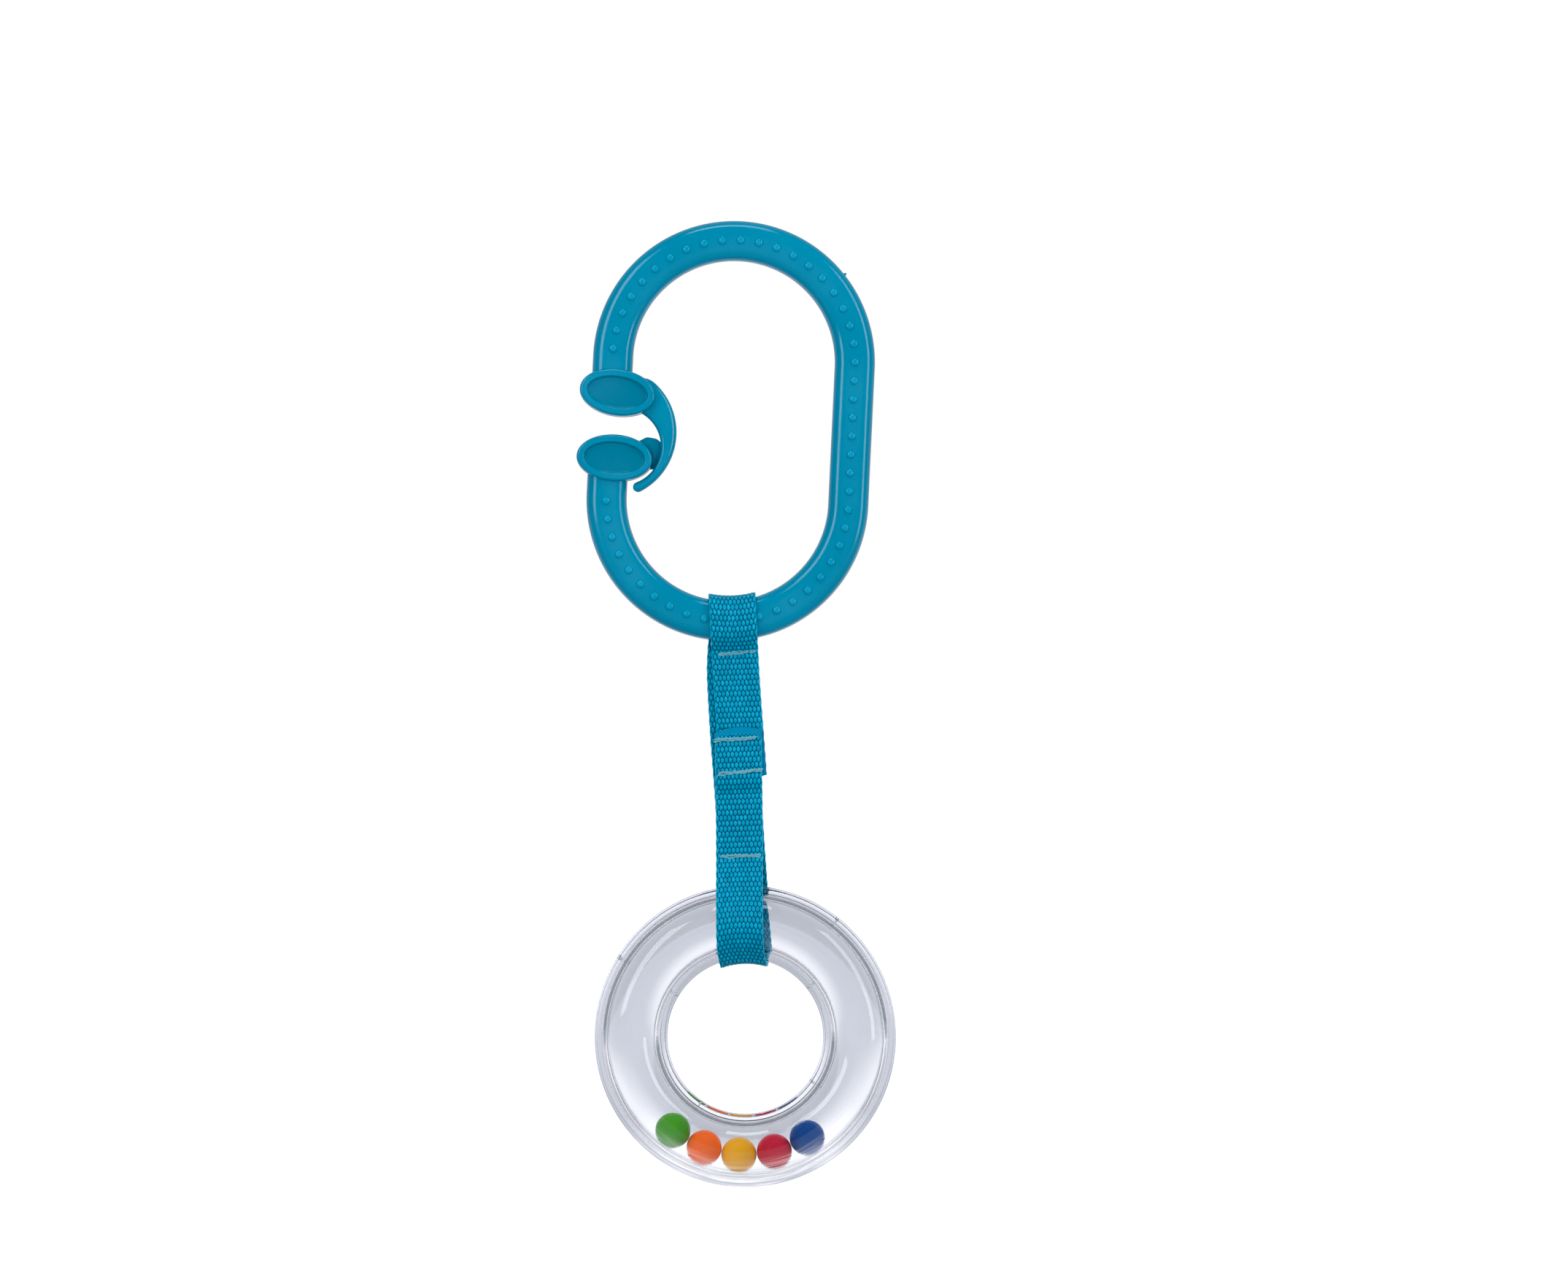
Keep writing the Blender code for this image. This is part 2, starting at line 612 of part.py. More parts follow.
def make_bead(name, place, pivot, material):
    """A bead on the channel's path, place steps to the right of the row's middle."""
    bm = bmesh.new()
    bmesh.ops.create_uvsphere(bm, u_segments=BEAD_SIDES, v_segments=BEAD_RINGS, radius=BEAD_DIAMETER / 2)
    angle = BEAD_ROW_TURN + place * BEAD_STEP
    offset = BEAD_PATH_RADIUS * Vector((math.sin(angle), 0.0, -math.cos(angle)))
    return make_object(name, bm, pivot, offset, material)


# ---- Assembly -----------------------------------------------------------------


def build():
    for obj in list(bpy.data.objects):
        bpy.data.objects.remove(obj)

    teal = make_material("teal_plastic", (0.0, 0.22, 0.36), 0.25)
    webbing = make_material("teal_webbing", (0.0, 0.25, 0.42), 0.75)
    thread = make_material("pale_thread", (0.16, 0.42, 0.52), 0.6)
    clear = make_material("clear_plastic", (0.86, 0.88, 0.95), 0.05, alpha=0.3)

    link_pivot = make_pivot("link_pivot", LINK_PIVOT, turn=LINK_LEAN)
    hook_pivot = make_pivot("hook_pivot", HOOK_PIVOT, link_pivot)
    make_link_frame(link_pivot, teal)
    make_hook(hook_pivot, link_pivot, teal)

    loop_pivot = make_pivot("loop_pivot", LINK_PIVOT)
    neck = make_pivot("upper_neck", Vector((0.0, 0.0, UPPER_NECK - LINK_RADIUS)), loop_pivot)
    twist = make_pivot("twist", Vector((0.0, 0.0, TWIST - UPPER_NECK)), neck)
    low_neck = make_pivot("lower_neck", Vector((0.0, 0.0, LOWER_NECK - TWIST)), twist)
    ring_pivot = make_pivot("ring_pivot", Vector((0.0, 0.0, RING_CENTRE - LOWER_NECK)), low_neck)
    make_strap(loop_pivot, neck, twist, low_neck, webbing, thread)

    make_shell("ring_front_shell", 1, ring_pivot, clear)
    make_shell("ring_back_shell", -1, ring_pivot, clear)
    beads = (
        ("bead_green", (0.08, 0.30, 0.01)),
        ("bead_orange", (0.85, 0.16, 0.01)),
        ("bead_yellow", (0.83, 0.40, 0.01)),
        ("bead_red", (0.58, 0.01, 0.04)),
        ("bead_blue", (0.01, 0.07, 0.30)),
    )
    for place, (name, colour) in enumerate(beads, start=-(len(beads) // 2)):
        make_bead(name, place, ring_pivot, make_material(name, colour, 0.3))


build()
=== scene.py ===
import json
import math

import bpy
import numpy as np
from mathutils import Matrix, Vector


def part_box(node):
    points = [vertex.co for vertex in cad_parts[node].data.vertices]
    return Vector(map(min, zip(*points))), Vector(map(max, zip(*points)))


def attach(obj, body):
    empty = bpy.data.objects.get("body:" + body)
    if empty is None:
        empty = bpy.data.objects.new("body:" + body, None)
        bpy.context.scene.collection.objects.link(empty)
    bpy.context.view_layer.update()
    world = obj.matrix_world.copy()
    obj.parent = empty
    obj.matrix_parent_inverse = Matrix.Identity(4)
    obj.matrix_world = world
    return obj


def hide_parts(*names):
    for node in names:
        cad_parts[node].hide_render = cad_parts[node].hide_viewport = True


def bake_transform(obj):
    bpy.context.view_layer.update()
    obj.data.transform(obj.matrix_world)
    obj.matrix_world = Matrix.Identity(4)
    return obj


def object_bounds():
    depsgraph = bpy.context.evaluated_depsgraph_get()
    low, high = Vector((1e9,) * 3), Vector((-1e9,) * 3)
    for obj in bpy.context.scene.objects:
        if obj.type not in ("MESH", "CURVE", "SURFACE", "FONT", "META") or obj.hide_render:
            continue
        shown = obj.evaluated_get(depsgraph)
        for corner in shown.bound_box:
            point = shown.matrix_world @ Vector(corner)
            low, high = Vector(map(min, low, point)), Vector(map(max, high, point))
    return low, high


# Teething ring: moulded link, woven strap with its stitching, and the clear ring of beads.
# Sizes are in metres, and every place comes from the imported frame's joints and boxes.

MM = 0.001

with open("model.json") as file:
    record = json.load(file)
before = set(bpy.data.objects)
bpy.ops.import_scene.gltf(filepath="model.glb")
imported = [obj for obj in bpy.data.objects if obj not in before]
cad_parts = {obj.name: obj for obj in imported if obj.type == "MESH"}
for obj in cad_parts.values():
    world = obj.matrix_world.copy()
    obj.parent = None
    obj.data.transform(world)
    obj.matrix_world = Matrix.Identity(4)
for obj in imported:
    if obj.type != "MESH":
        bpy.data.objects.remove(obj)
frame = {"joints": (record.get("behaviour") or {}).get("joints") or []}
cad_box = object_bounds()
joints = {joint["name"]: joint for joint in frame["joints"]}

# ---- Sizes ----------------------------------------------------------------------

# Link
LINK_LEAN = math.radians(4.6)
LINK_CENTRES = 29.8 * MM
LINK_RADIUS = 26.1 * MM
BAR_WIDTH = 8.6 * MM
BAR_THICKNESS = 7.0 * MM
BAR_SQUARENESS = 3.0
DOT_PITCH = 4.0 * MM
DOT_RADIUS = 0.90 * MM
DOT_HEIGHT = 0.58 * MM
DOT_START = math.radians(3.3)

# Pads, hook and guide tongue
PAD_LENGTH = 16.5 * MM
PAD_WIDTH = 10.2 * MM
PAD_THICKNESS = 8.8 * MM
PAD_GAP = 3.9 * MM
PAD_SHIFT = 1.4 * MM
PAD_TILTS = (math.radians(6.0), math.radians(1.5))
HOOK_OUTER_RADIUS = 14.4 * MM
HOOK_INNER_RADIUS = 8.2 * MM
HOOK_WIDTH = 3.25 * MM
HOOK_TO_PAD = 1.2 * MM
HOOK_RISES = (2.5 * MM, 3.0 * MM)
HOOK_FRONT = -2.8 * MM
HOOK_BACK = 0.4 * MM
TONGUE_SIZE = (8.2 * MM, 1.6 * MM, 7.0 * MM)
TONGUE_REACH = 3.2 * MM
TONGUE_RISE = 1.3 * MM

# Webbing
STRAP_WIDTH = 10.0 * MM
STRAP_THICKNESS = 1.1 * MM
LAYER_Y = 0.62 * MM
OUTER_LAYER_Y = 1.85 * MM
WRAP_GAP = 0.12 * MM
WARP_COLUMNS = 11
WEAVE_ROW = 1.16 * MM
FLOAT_HEIGHT = 0.24 * MM
SELVEDGE = 0.5 * MM

# Strap levels: heights above the centre of the link's bar
SEAMS = (-6.9 * MM, -25.5 * MM, -32.6 * MM, -50.8 * MM)
OVERLAP_TOP = -23.3 * MM
HIDDEN_END = -33.7 * MM

# Ring and beads
RING_PATH_RADIUS = 24.65 * MM
TUBE_RADIUS = 6.5 * MM
TUBE_WALL = 1.5 * MM
FLANGE_WIDTH = 1.35 * MM
FLANGE_THICKNESS = 1.2 * MM
BEAD_DIAMETER = 7.66 * MM
HALF_SEAM = 0.03 * MM
STEP_DOWN = 0.28 * MM
FLANGE_EDGE = 0.15 * MM

# Rounding of the bar under the strap, and of the pads' rims
BAR_CORNER = 2.6 * MM
RIM_RADIUS = 0.62 * MM

# Mould line round each bead
BEAD_BAND = 0.015 * MM

# Marks on the ring's flanges: angle up from the right, radius, length and width
INNER_MARK = 17.55 * MM
OUTER_MARK = 31.75 * MM
RING_MARKS = (
    (-36.0, INNER_MARK, 1.2 * MM, 0.5 * MM),
    (-126.0, INNER_MARK, 1.2 * MM, 0.5 * MM),
    (147.0, INNER_MARK, 1.2 * MM, 0.5 * MM),
    (36.0, INNER_MARK, 1.2 * MM, 0.5 * MM),
    (50.0, OUTER_MARK, 1.0 * MM, 0.7 * MM),
    (146.0, OUTER_MARK, 1.1 * MM, 0.9 * MM),
)

# ---- Places, from the frame -------------------------------------------------------

LINK_PIVOT = Vector(joints["loop_slide"]["pos_m"])
LOWER_NECK = Vector(joints["lower_neck_bend"]["pos_m"])
RING_CENTRE = Vector(joints["ring_turn"]["pos_m"])
BAR_CENTRE = LINK_PIVOT - Vector((0.0, 0.0, LINK_RADIUS))
LINK_FRAME = Matrix.Translation(LINK_PIVOT) @ Matrix.Rotation(LINK_LEAN, 4, "Y")
RING_LEVEL = RING_CENTRE.z - BAR_CENTRE.z

# ---- Mesh helpers -----------------------------------------------------------------


def mesh_piece(name, verts, faces, material, smooth=True):
    mesh = bpy.data.meshes.new(name)
    mesh.from_pydata([tuple(vert) for vert in verts], [], [tuple(face) for face in faces])
    mesh.validate()
    if smooth:
        mesh.shade_smooth()
    mesh.materials.append(material)
    piece = bpy.data.objects.new(name, mesh)
    bpy.context.scene.collection.objects.link(piece)
    return piece


def tube_faces(rows, columns, closed_rows=False, closed_columns=True):
    """Quads of a grid of rows by columns; either direction may close on itself."""
    row = np.arange(rows if closed_rows else rows - 1)
    column = np.arange(columns if closed_columns else columns - 1)
    r, c = np.meshgrid(row, column, indexing="ij")
    next_r = (r + 1) % rows
    next_c = (c + 1) % columns
    here, ahead = r * columns, next_r * columns
    quads = np.stack([here + c, here + next_c, ahead + next_c, ahead + c], -1)
    return quads.reshape(-1, 4).tolist()


def join_shells(shells):
    """Several (verts, faces) shells as one pair."""
    all_verts = []
    all_faces = []
    for verts, faces in shells:
        start = len(all_verts)
        all_verts.extend(tuple(vert) for vert in verts)
        all_faces.extend(tuple(index + start for index in face) for face in faces)
    return all_verts, all_faces


def capped_tube(sections):
    """A closed shell through equal closed sections, capped by a face at each end."""
    sections = np.asarray(sections)
    rows, columns = sections.shape[:2]
    faces = tube_faces(rows, columns)
    faces.append(tuple(range(columns))[::-1])
    last = (rows - 1) * columns
    faces.append(tuple(range(last, last + columns)))
    return sections.reshape(-1, 3), faces


def superellipse(width, height, power, count):
    """Points round a rounded rectangle whose corners sharpen with power."""
    angle = np.linspace(0, 2 * math.pi, count, endpoint=False)
    x = np.sign(np.cos(angle)) * np.abs(np.cos(angle)) ** (2 / power) * width / 2
    y = np.sign(np.sin(angle)) * np.abs(np.sin(angle)) ** (2 / power) * height / 2
    return x, y


def transform(points, matrix):
    points = np.asarray(points)
    turn = np.array(matrix.to_3x3())
    return points @ turn.T + np.array(matrix.translation)


# ---- Shader node helpers ------------------------------------------------------------


def feed(tree, socket, value):
    """Link a value to a socket, or set it if the value is a constant."""
    if isinstance(value, bpy.types.NodeSocket):
        tree.links.new(value, socket)
    else:
        socket.default_value = value


def add_node(tree, kind, **values):
    """A node of this kind, with its properties and input sockets set by name."""
    node = tree.nodes.new("ShaderNode" + kind)
    for name, value in values.items():
        socket = name.replace("_", " ").title()
        if socket in node.inputs:
            feed(tree, node.inputs[socket], value)
        else:
            setattr(node, name, value)
    return node


def math_node(tree, operation, a, b=0.0, clamp=False):
    node = tree.nodes.new("ShaderNodeMath")
    node.operation = operation
    node.use_clamp = clamp
    for socket, value in zip(node.inputs, (a, b)):
        feed(tree, socket, value)
    return node.outputs[0]


def mix_colour(tree, factor, a, b, blend="MIX"):
    node = tree.nodes.new("ShaderNodeMix")
    node.data_type = "RGBA"
    node.blend_type = blend
    for socket, value in ((node.inputs[0], factor), (node.inputs[6], a), (node.inputs[7], b)):
        feed(tree, socket, value)
    return node.outputs[2]


def grey_of(tree, value):
    return add_node(tree, "CombineColor", red=value, green=value, blue=value).outputs[0]


def spread(tree, value, low, high, from_low=0.0, from_high=1.0):
    """Map a value from one range to another."""
    node = tree.nodes.new("ShaderNodeMapRange")
    tree.links.new(value, node.inputs["Value"])
    for name, number in (("From Min", from_low), ("From Max", from_high), ("To Min", low), ("To Max", high)):
        node.inputs[name].default_value = number
    return node.outputs["Result"]


def noise(tree, vector, scale, detail=3.0, roughness=0.5):
    node = add_node(tree, "TexNoise", vector=vector, scale=scale, detail=detail, roughness=roughness)
    return node.outputs["Fac"]


def new_group(name, inputs, outputs):
    """A node group with sockets given as (name, kind, default)."""
    tree = bpy.data.node_groups.new(name, "ShaderNodeTree")
    for label, kind, default in inputs:
        socket = tree.interface.new_socket(label, in_out="INPUT", socket_type="NodeSocket" + kind)
        if default is not None:
            socket.default_value = default
    for label, kind in outputs:
        tree.interface.new_socket(label, in_out="OUTPUT", socket_type="NodeSocket" + kind)
    return tree, tree.nodes.new("NodeGroupInput").outputs, tree.nodes.new("NodeGroupOutput").inputs


def place_group(tree, group, **values):
    node = tree.nodes.new("ShaderNodeGroup")
    node.node_tree = group
    for name, value in values.items():
        feed(tree, node.inputs[name.replace("_", " ").capitalize()], value)
    return node.outputs


def new_material(name, **values):
    """A material, its Principled shader with these sockets set, and its node tree."""
    material = bpy.data.materials.new(name)
    material.use_nodes = True
    tree = material.node_tree
    shader = tree.nodes["Principled BSDF"]
    for label, value in values.items():
        shader.inputs[label.replace("_", " ").title().replace("Ior", "IOR")].default_value = value
    return material, tree, shader


def raise_surface(tree, shader, height, strength, distance):
    bump = add_node(tree, "Bump", strength=strength, distance=distance, height=height)
    tree.links.new(bump.outputs["Normal"], shader.inputs["Normal"])


# ---- Shared finishes ------------------------------------------------------------------


def make_moulded_finish():
    """Injection-moulded skin: slow colour drift, faint flow and sink, fine grain, painted shade on the pads'
    dish floors and painted light on raised detail.
    """
    tree, inp, out = new_group(
        "moulded_finish",
        [("Colour", "Color", (0.0, 0.2, 0.4, 1.0)), ("Drift", "Float", 0.06), ("Gloss", "Float", 0.25)],
        [("Colour", "Color"), ("Roughness", "Float"), ("Relief", "Float")])
    place = add_node(tree, "TexCoord").outputs["Object"]
    cloud = noise(tree, place, 60.0, 4.0)
    fine = noise(tree, place, 900.0, 2.0)
    amount = math_node(tree, "MULTIPLY", spread(tree, cloud, -1.0, 1.0, 0.3, 0.7), inp["Drift"])
    shade = math_node(tree, "ADD", 1.0, amount)
    grey = grey_of(tree, shade)
    # Painted shade and light: the link's weight darkens its dish floors and lightens its dots, tongue and
    # nib; depth below is that factor.
    painted_shade = add_node(tree, "Attribute", attribute_name="painted_shade_weight").outputs["Fac"]
    face = mix_colour(tree, 1.0, inp["Colour"], grey, "MULTIPLY")
    depth = math_node(tree, "SUBTRACT", 1.0, math_node(tree, "MULTIPLY", painted_shade, 0.22))
    tree.links.new(mix_colour(tree, 1.0, face, grey_of(tree, depth), "MULTIPLY"), out["Colour"])
    sheen = spread(tree, cloud, -0.04, 0.06, 0.3, 0.7)
    tree.links.new(math_node(tree, "ADD", inp["Gloss"], sheen), out["Roughness"])
    ripple = math_node(tree, "MULTIPLY", cloud, 0.9)
    tree.links.new(math_node(tree, "ADD", ripple, math_node(tree, "MULTIPLY", fine, 0.1)), out["Relief"])
    return tree


def make_hairline_wear():
    """Fine scratches from handling, as a mask: thin lines in a few directions."""
    tree, inp, out = new_group(
        "hairline_wear", [("Density", "Float", 0.5), ("Size", "Float", 300.0)], [("Scratches", "Float")])
    place = add_node(tree, "TexCoord").outputs["Object"]
    lines = None
    for turn in (0.3, 1.4, 2.4):
        rotation = (turn, turn * 1.7, turn * 0.6)
        node = add_node(tree, "Mapping", vector=place, rotation=rotation, scale=(1.0, 18.0, 9.0))
        field = add_node(tree, "TexNoise", vector=node.outputs[0], scale=inp["Size"], detail=1.0)
        wave = field.outputs["Fac"]
        thin = spread(tree, wave, 0.0, 1.0, 0.66, 0.72)
        lines = thin if lines is None else math_node(tree, "MAXIMUM", lines, thin)
    tree.links.new(math_node(tree, "MULTIPLY", lines, inp["Density"], True), out["Scratches"])
    return tree


def make_tool_marks():
    """Fine rings that a turned mould leaves on a round part, about the Y axis."""
    tree, inp, out = new_group(
        "tool_marks",
        [("Centre", "Vector", None), ("Inner", "Float", 0.025), ("Outer", "Float", 0.031)],
        [("Marks", "Float")])
    place = add_node(tree, "TexCoord").outputs["Object"]
    offset = add_node(tree, "VectorMath", operation="SUBTRACT")
    tree.links.new(place, offset.inputs[0])
    tree.links.new(inp["Centre"], offset.inputs[1])
    split = add_node(tree, "SeparateXYZ", vector=offset.outputs[0]).outputs
    flat = add_node(tree, "CombineXYZ", x=split["X"], z=split["Z"]).outputs[0]
    size = add_node(tree, "VectorMath", operation="LENGTH")
    tree.links.new(flat, size.inputs[0])
    radius = size.outputs["Value"]
    angle = math_node(tree, "ARCTAN2", split["Z"], split["X"])
    ring_space = add_node(tree, "CombineXYZ", x=math_node(tree, "MULTIPLY", radius, 5200.0), y=math_node(
        tree, "MULTIPLY", angle, 2.6), z=math_node(tree, "MULTIPLY", split["Y"], 600.0)).outputs[0]
    streak = add_node(tree, "TexNoise", vector=ring_space, scale=1.0, detail=2.0).outputs["Fac"]
    zone = add_node(tree, "MapRange", value=radius, from_min=inp["Inner"], from_max=inp["Outer"])
    zone.interpolation_type = "SMOOTHSTEP"
    depth = math_node(tree, "DIVIDE", split["Z"], math_node(tree, "MULTIPLY", radius, -1.0))
    low = spread(tree, depth, 0.0, 1.0, 0.55, 0.85)
    worn = math_node(tree, "MULTIPLY", zone.outputs[0], low)
    lines = spread(tree, streak, 0.0, 1.0, 0.42, 0.66)
    tree.links.new(math_node(tree, "MULTIPLY", lines, worn, True), out["Marks"])
    return tree


def make_yarn():
    """Multifilament yarn: filaments along U of the cloth, with painted shade between the floats and painted
    highlights along the filaments.
    """
    tree, inp, out = new_group(
        "yarn",
        [("Colour", "Color", (0.0, 0.3, 0.5, 1.0)), ("Deep colour", "Color", (0.0, 0.1, 0.2, 1.0)),
         ("Lit colour", "Color", (0.1, 0.5, 0.6, 1.0)), ("Filaments", "Float", 9.0)],
        [("Colour", "Color"), ("Roughness", "Float"), ("Relief", "Float")])
    depth = add_node(tree, "Attribute", attribute_name="float_height").outputs["Fac"]
    tone = add_node(tree, "Attribute", attribute_name="yarn_tone").outputs["Fac"]
    cloth = add_node(tree, "UVMap", uv_map="cloth").outputs["UV"]
    split = add_node(tree, "SeparateXYZ", vector=cloth).outputs
    along = math_node(tree, "MULTIPLY", split["X"], 0.9)
    across = math_node(tree, "MULTIPLY", split["Y"], inp["Filaments"])
    strand_space = add_node(tree, "CombineXYZ", x=along, y=across).outputs[0]
    strand = noise(tree, strand_space, 1.0, 3.0, 0.6)
    strand_contrast = spread(tree, strand, 0.0, 1.0, 0.32, 0.68)
    # Painted highlight: the lit colour streaks the floats' tops along the filaments.
    painted_sheen = math_node(tree, "MULTIPLY", strand_contrast, 0.55)
    top = mix_colour(tree, painted_sheen, inp["Colour"], inp["Lit colour"])
    # Painted shade: the low cloth between the floats takes the shade colour, by float height.
    lift = add_node(tree, "MapRange", value=depth, from_min=0.15, from_max=0.70)
    lift.interpolation_type = "SMOOTHSTEP"
    body = mix_colour(tree, lift.outputs[0], inp["Deep colour"], top)
    shade = spread(tree, tone, 0.86, 1.12)
    grey = grey_of(tree, shade)
    tree.links.new(mix_colour(tree, 1.0, body, grey, "MULTIPLY"), out["Colour"])
    tree.links.new(spread(tree, strand, 0.24, 0.40), out["Roughness"])
    tree.links.new(strand_contrast, out["Relief"])
    return tree


MOULDED = make_moulded_finish()
WEAR = make_hairline_wear()
TOOL_MARKS = make_tool_marks()
YARN = make_yarn()

# ---- Materials ----------------------------------------------------------------------


def moulded_plastic(name, colour, gloss, drift, wear):
    """Solid-coloured moulded plastic with a little handling wear."""
    material, tree, shader = new_material(name, specular_ior_level=0.32)
    skin = place_group(tree, MOULDED, colour=(*colour, 1.0), drift=drift, gloss=gloss)
    lines = place_group(tree, WEAR, density=wear)["Scratches"]
    tree.links.new(skin["Colour"], shader.inputs["Base Color"])
    rough = math_node(tree, "ADD", skin["Roughness"], math_node(tree, "MULTIPLY", lines, 0.25), True)
    tree.links.new(rough, shader.inputs["Roughness"])
    height = math_node(tree, "SUBTRACT", skin["Relief"], math_node(tree, "MULTIPLY", lines, 0.4))
    raise_surface(tree, shader, height, 0.2, 0.02 * MM)
    return material


def make_clear_plastic():
    """Clear polished plastic, scuffed where the beads roll along its outer wall, with a faint painted glow
    on the scuffed band.
    """
    material, tree, shader = new_material(
        "clear_plastic", base_color=(0.955, 0.96, 0.975, 1.0), transmission_weight=1.0, ior=1.44)
    marks = place_group(
        tree, TOOL_MARKS, centre=RING_CENTRE,
        inner=RING_PATH_RADIUS + 0.8 * MM, outer=RING_PATH_RADIUS + 3.2 * MM)
    lines = place_group(tree, WEAR, density=0.6)["Scratches"]
    haze = math_node(tree, "MULTIPLY", marks["Marks"], 0.16)
    rough = math_node(tree, "ADD", haze, math_node(tree, "MULTIPLY", lines, 0.06))
    tree.links.new(math_node(tree, "ADD", rough, 0.004, True), shader.inputs["Roughness"])
    # Painted light: the scuffed band glows faintly grey through the emission.
    painted_scuff_glow = math_node(tree, "MULTIPLY", marks["Marks"], 0.16)
    tree.links.new(grey_of(tree, painted_scuff_glow), shader.inputs["Emission Color"])
    shader.inputs["Emission Strength"].default_value = 1.0
    height = math_node(tree, "ADD", marks["Marks"], math_node(tree, "MULTIPLY", lines, 0.3))
    raise_surface(tree, shader, height, 0.4, 0.02 * MM)
    through = add_node(tree, "BsdfTransparent", color=(0.93, 0.94, 0.96, 1.0))
    lamp = add_node(tree, "LightPath").outputs["Is Shadow Ray"]
    mix = tree.nodes.new("ShaderNodeMixShader")
    tree.links.new(lamp, mix.inputs[0])
    tree.links.new(shader.outputs[0], mix.inputs[1])
    tree.links.new(through.outputs[0], mix.inputs[2])
    tree.links.new(mix.outputs[0], tree.nodes["Material Output"].inputs["Surface"])
    return material


def make_webbing():
    """Teal polypropylene webbing, one ribbed float at a time."""
    material, tree, shader = new_material("teal_webbing", specular_ior_level=0.16)
    # The yarn's shade colour is painted shade between the floats; its lit colour is a painted highlight.
    yarn = place_group(
        tree, YARN, colour=(0.0, 0.25, 0.41, 1.0), deep_colour=(0.0, 0.06, 0.17, 1.0),
        lit_colour=(0.01, 0.41, 0.55, 1.0), filaments=9.0)
    fused = add_node(tree, "Attribute", attribute_name="melted").outputs["Fac"]
    cloth = mix_colour(tree, fused, yarn["Colour"], (0.0, 0.19, 0.35, 1.0))
    tree.links.new(cloth, shader.inputs["Base Color"])
    tree.links.new(yarn["Roughness"], shader.inputs["Roughness"])
    woven = math_node(tree, "SUBTRACT", 1.0, fused)
    raise_surface(tree, shader, math_node(tree, "MULTIPLY", yarn["Relief"], woven), 0.5, 0.05 * MM)
    return material


def make_thread():
    """Pale teal polyester sewing thread, with filaments along its ply."""
    material, tree, shader = new_material("pale_thread", specular_ior_level=0.4)
    # The thread takes the yarn's painted shade and painted highlight colours.
    yarn = place_group(
        tree, YARN, colour=(0.12, 0.37, 0.45, 1.0), deep_colour=(0.02, 0.14, 0.22, 1.0),
        lit_colour=(0.30, 0.55, 0.62, 1.0), filaments=14.0)
    tree.links.new(yarn["Colour"], shader.inputs["Base Color"])
    tree.links.new(yarn["Roughness"], shader.inputs["Roughness"])
    raise_surface(tree, shader, yarn["Relief"], 0.5, 0.03 * MM)
    return material


# ---- Link -----------------------------------------------------------------------------


def link_centreline():
    """Points and outward normals along the bar, from lower to upper pad."""
    half_gap = (PAD_GAP + PAD_WIDTH) / 2
    start = LINK_CENTRES / 2 - half_gap
    runs = []
    for z in np.linspace(start, 0.0, 5)[:-1]:
        runs.append((-LINK_RADIUS, z, -1.0, 0.0))
    for angle in np.linspace(math.pi, 2 * math.pi, 97):
        x, z = math.cos(angle), math.sin(angle)
        runs.append((LINK_RADIUS * x, LINK_RADIUS * z, x, z))
    for z in np.linspace(0.0, LINK_CENTRES, 25)[1:-1]:
        runs.append((LINK_RADIUS, z, 1.0, 0.0))
    for angle in np.linspace(0.0, math.pi, 97):
        x, z = math.cos(angle), math.sin(angle)
        runs.append((LINK_RADIUS * x, LINK_CENTRES + LINK_RADIUS * z, x, z))
    for z in np.linspace(LINK_CENTRES, LINK_CENTRES - start, 5)[1:]:
        runs.append((-LINK_RADIUS, z, -1.0, 0.0))
    return np.array(runs)


def bar_shell():
    runs = link_centreline()
    out, deep = superellipse(BAR_WIDTH, BAR_THICKNESS, BAR_SQUARENESS, 56)
    parting = 0.05 * MM * np.exp(-((deep / (0.12 * MM)) ** 2)) * np.sign(out)
    out = out + parting
    sections = np.zeros((len(runs), len(out), 3))
    sections[:, :, 0] = runs[:, None, 0] + runs[:, None, 2] * out
    sections[:, :, 1] = deep
    sections[:, :, 2] = runs[:, None, 1] + runs[:, None, 3] * out
    return capped_tube(sections)


def dot_places():
    """Centres of the raised dots along the middle of the bar."""
    arc = LINK_RADIUS * (math.pi - DOT_START)
    total = 2 * arc + LINK_CENTRES
    count = round(total / DOT_PITCH)
    places = []
    for number in range(count + 1):
        along = total * number / count
        if along < arc:
            angle = math.pi + DOT_START + along / LINK_RADIUS
            places.append((LINK_RADIUS * math.cos(angle), LINK_RADIUS * math.sin(angle)))
        elif along < arc + LINK_CENTRES:
            places.append((LINK_RADIUS, along - arc))
        else:
            angle = (along - arc - LINK_CENTRES) / LINK_RADIUS
            places.append((LINK_RADIUS * math.cos(angle), LINK_CENTRES + LINK_RADIUS * math.sin(angle)))
    return places


def dome_shell(x, z, side):
    """A raised dot on the front face (side -1) or the back face (side 1)."""
    steps = np.linspace(0.0, 1.0, 7)[:-1]
    angle = np.linspace(0, 2 * math.pi, 20, endpoint=False)
    rings = []
    for share in steps:
        radius = DOT_RADIUS * math.cos(share * math.pi / 2) ** 0.7
        rise = DOT_HEIGHT * math.sin(share * math.pi / 2)
        depth = side * (BAR_THICKNESS / 2 - 0.12 * MM + rise)
        flat = np.full_like(angle, depth)
        rings.append(np.stack([x + radius * np.cos(angle), flat, z + radius * np.sin(angle)], -1))
    return capped_tube(rings)


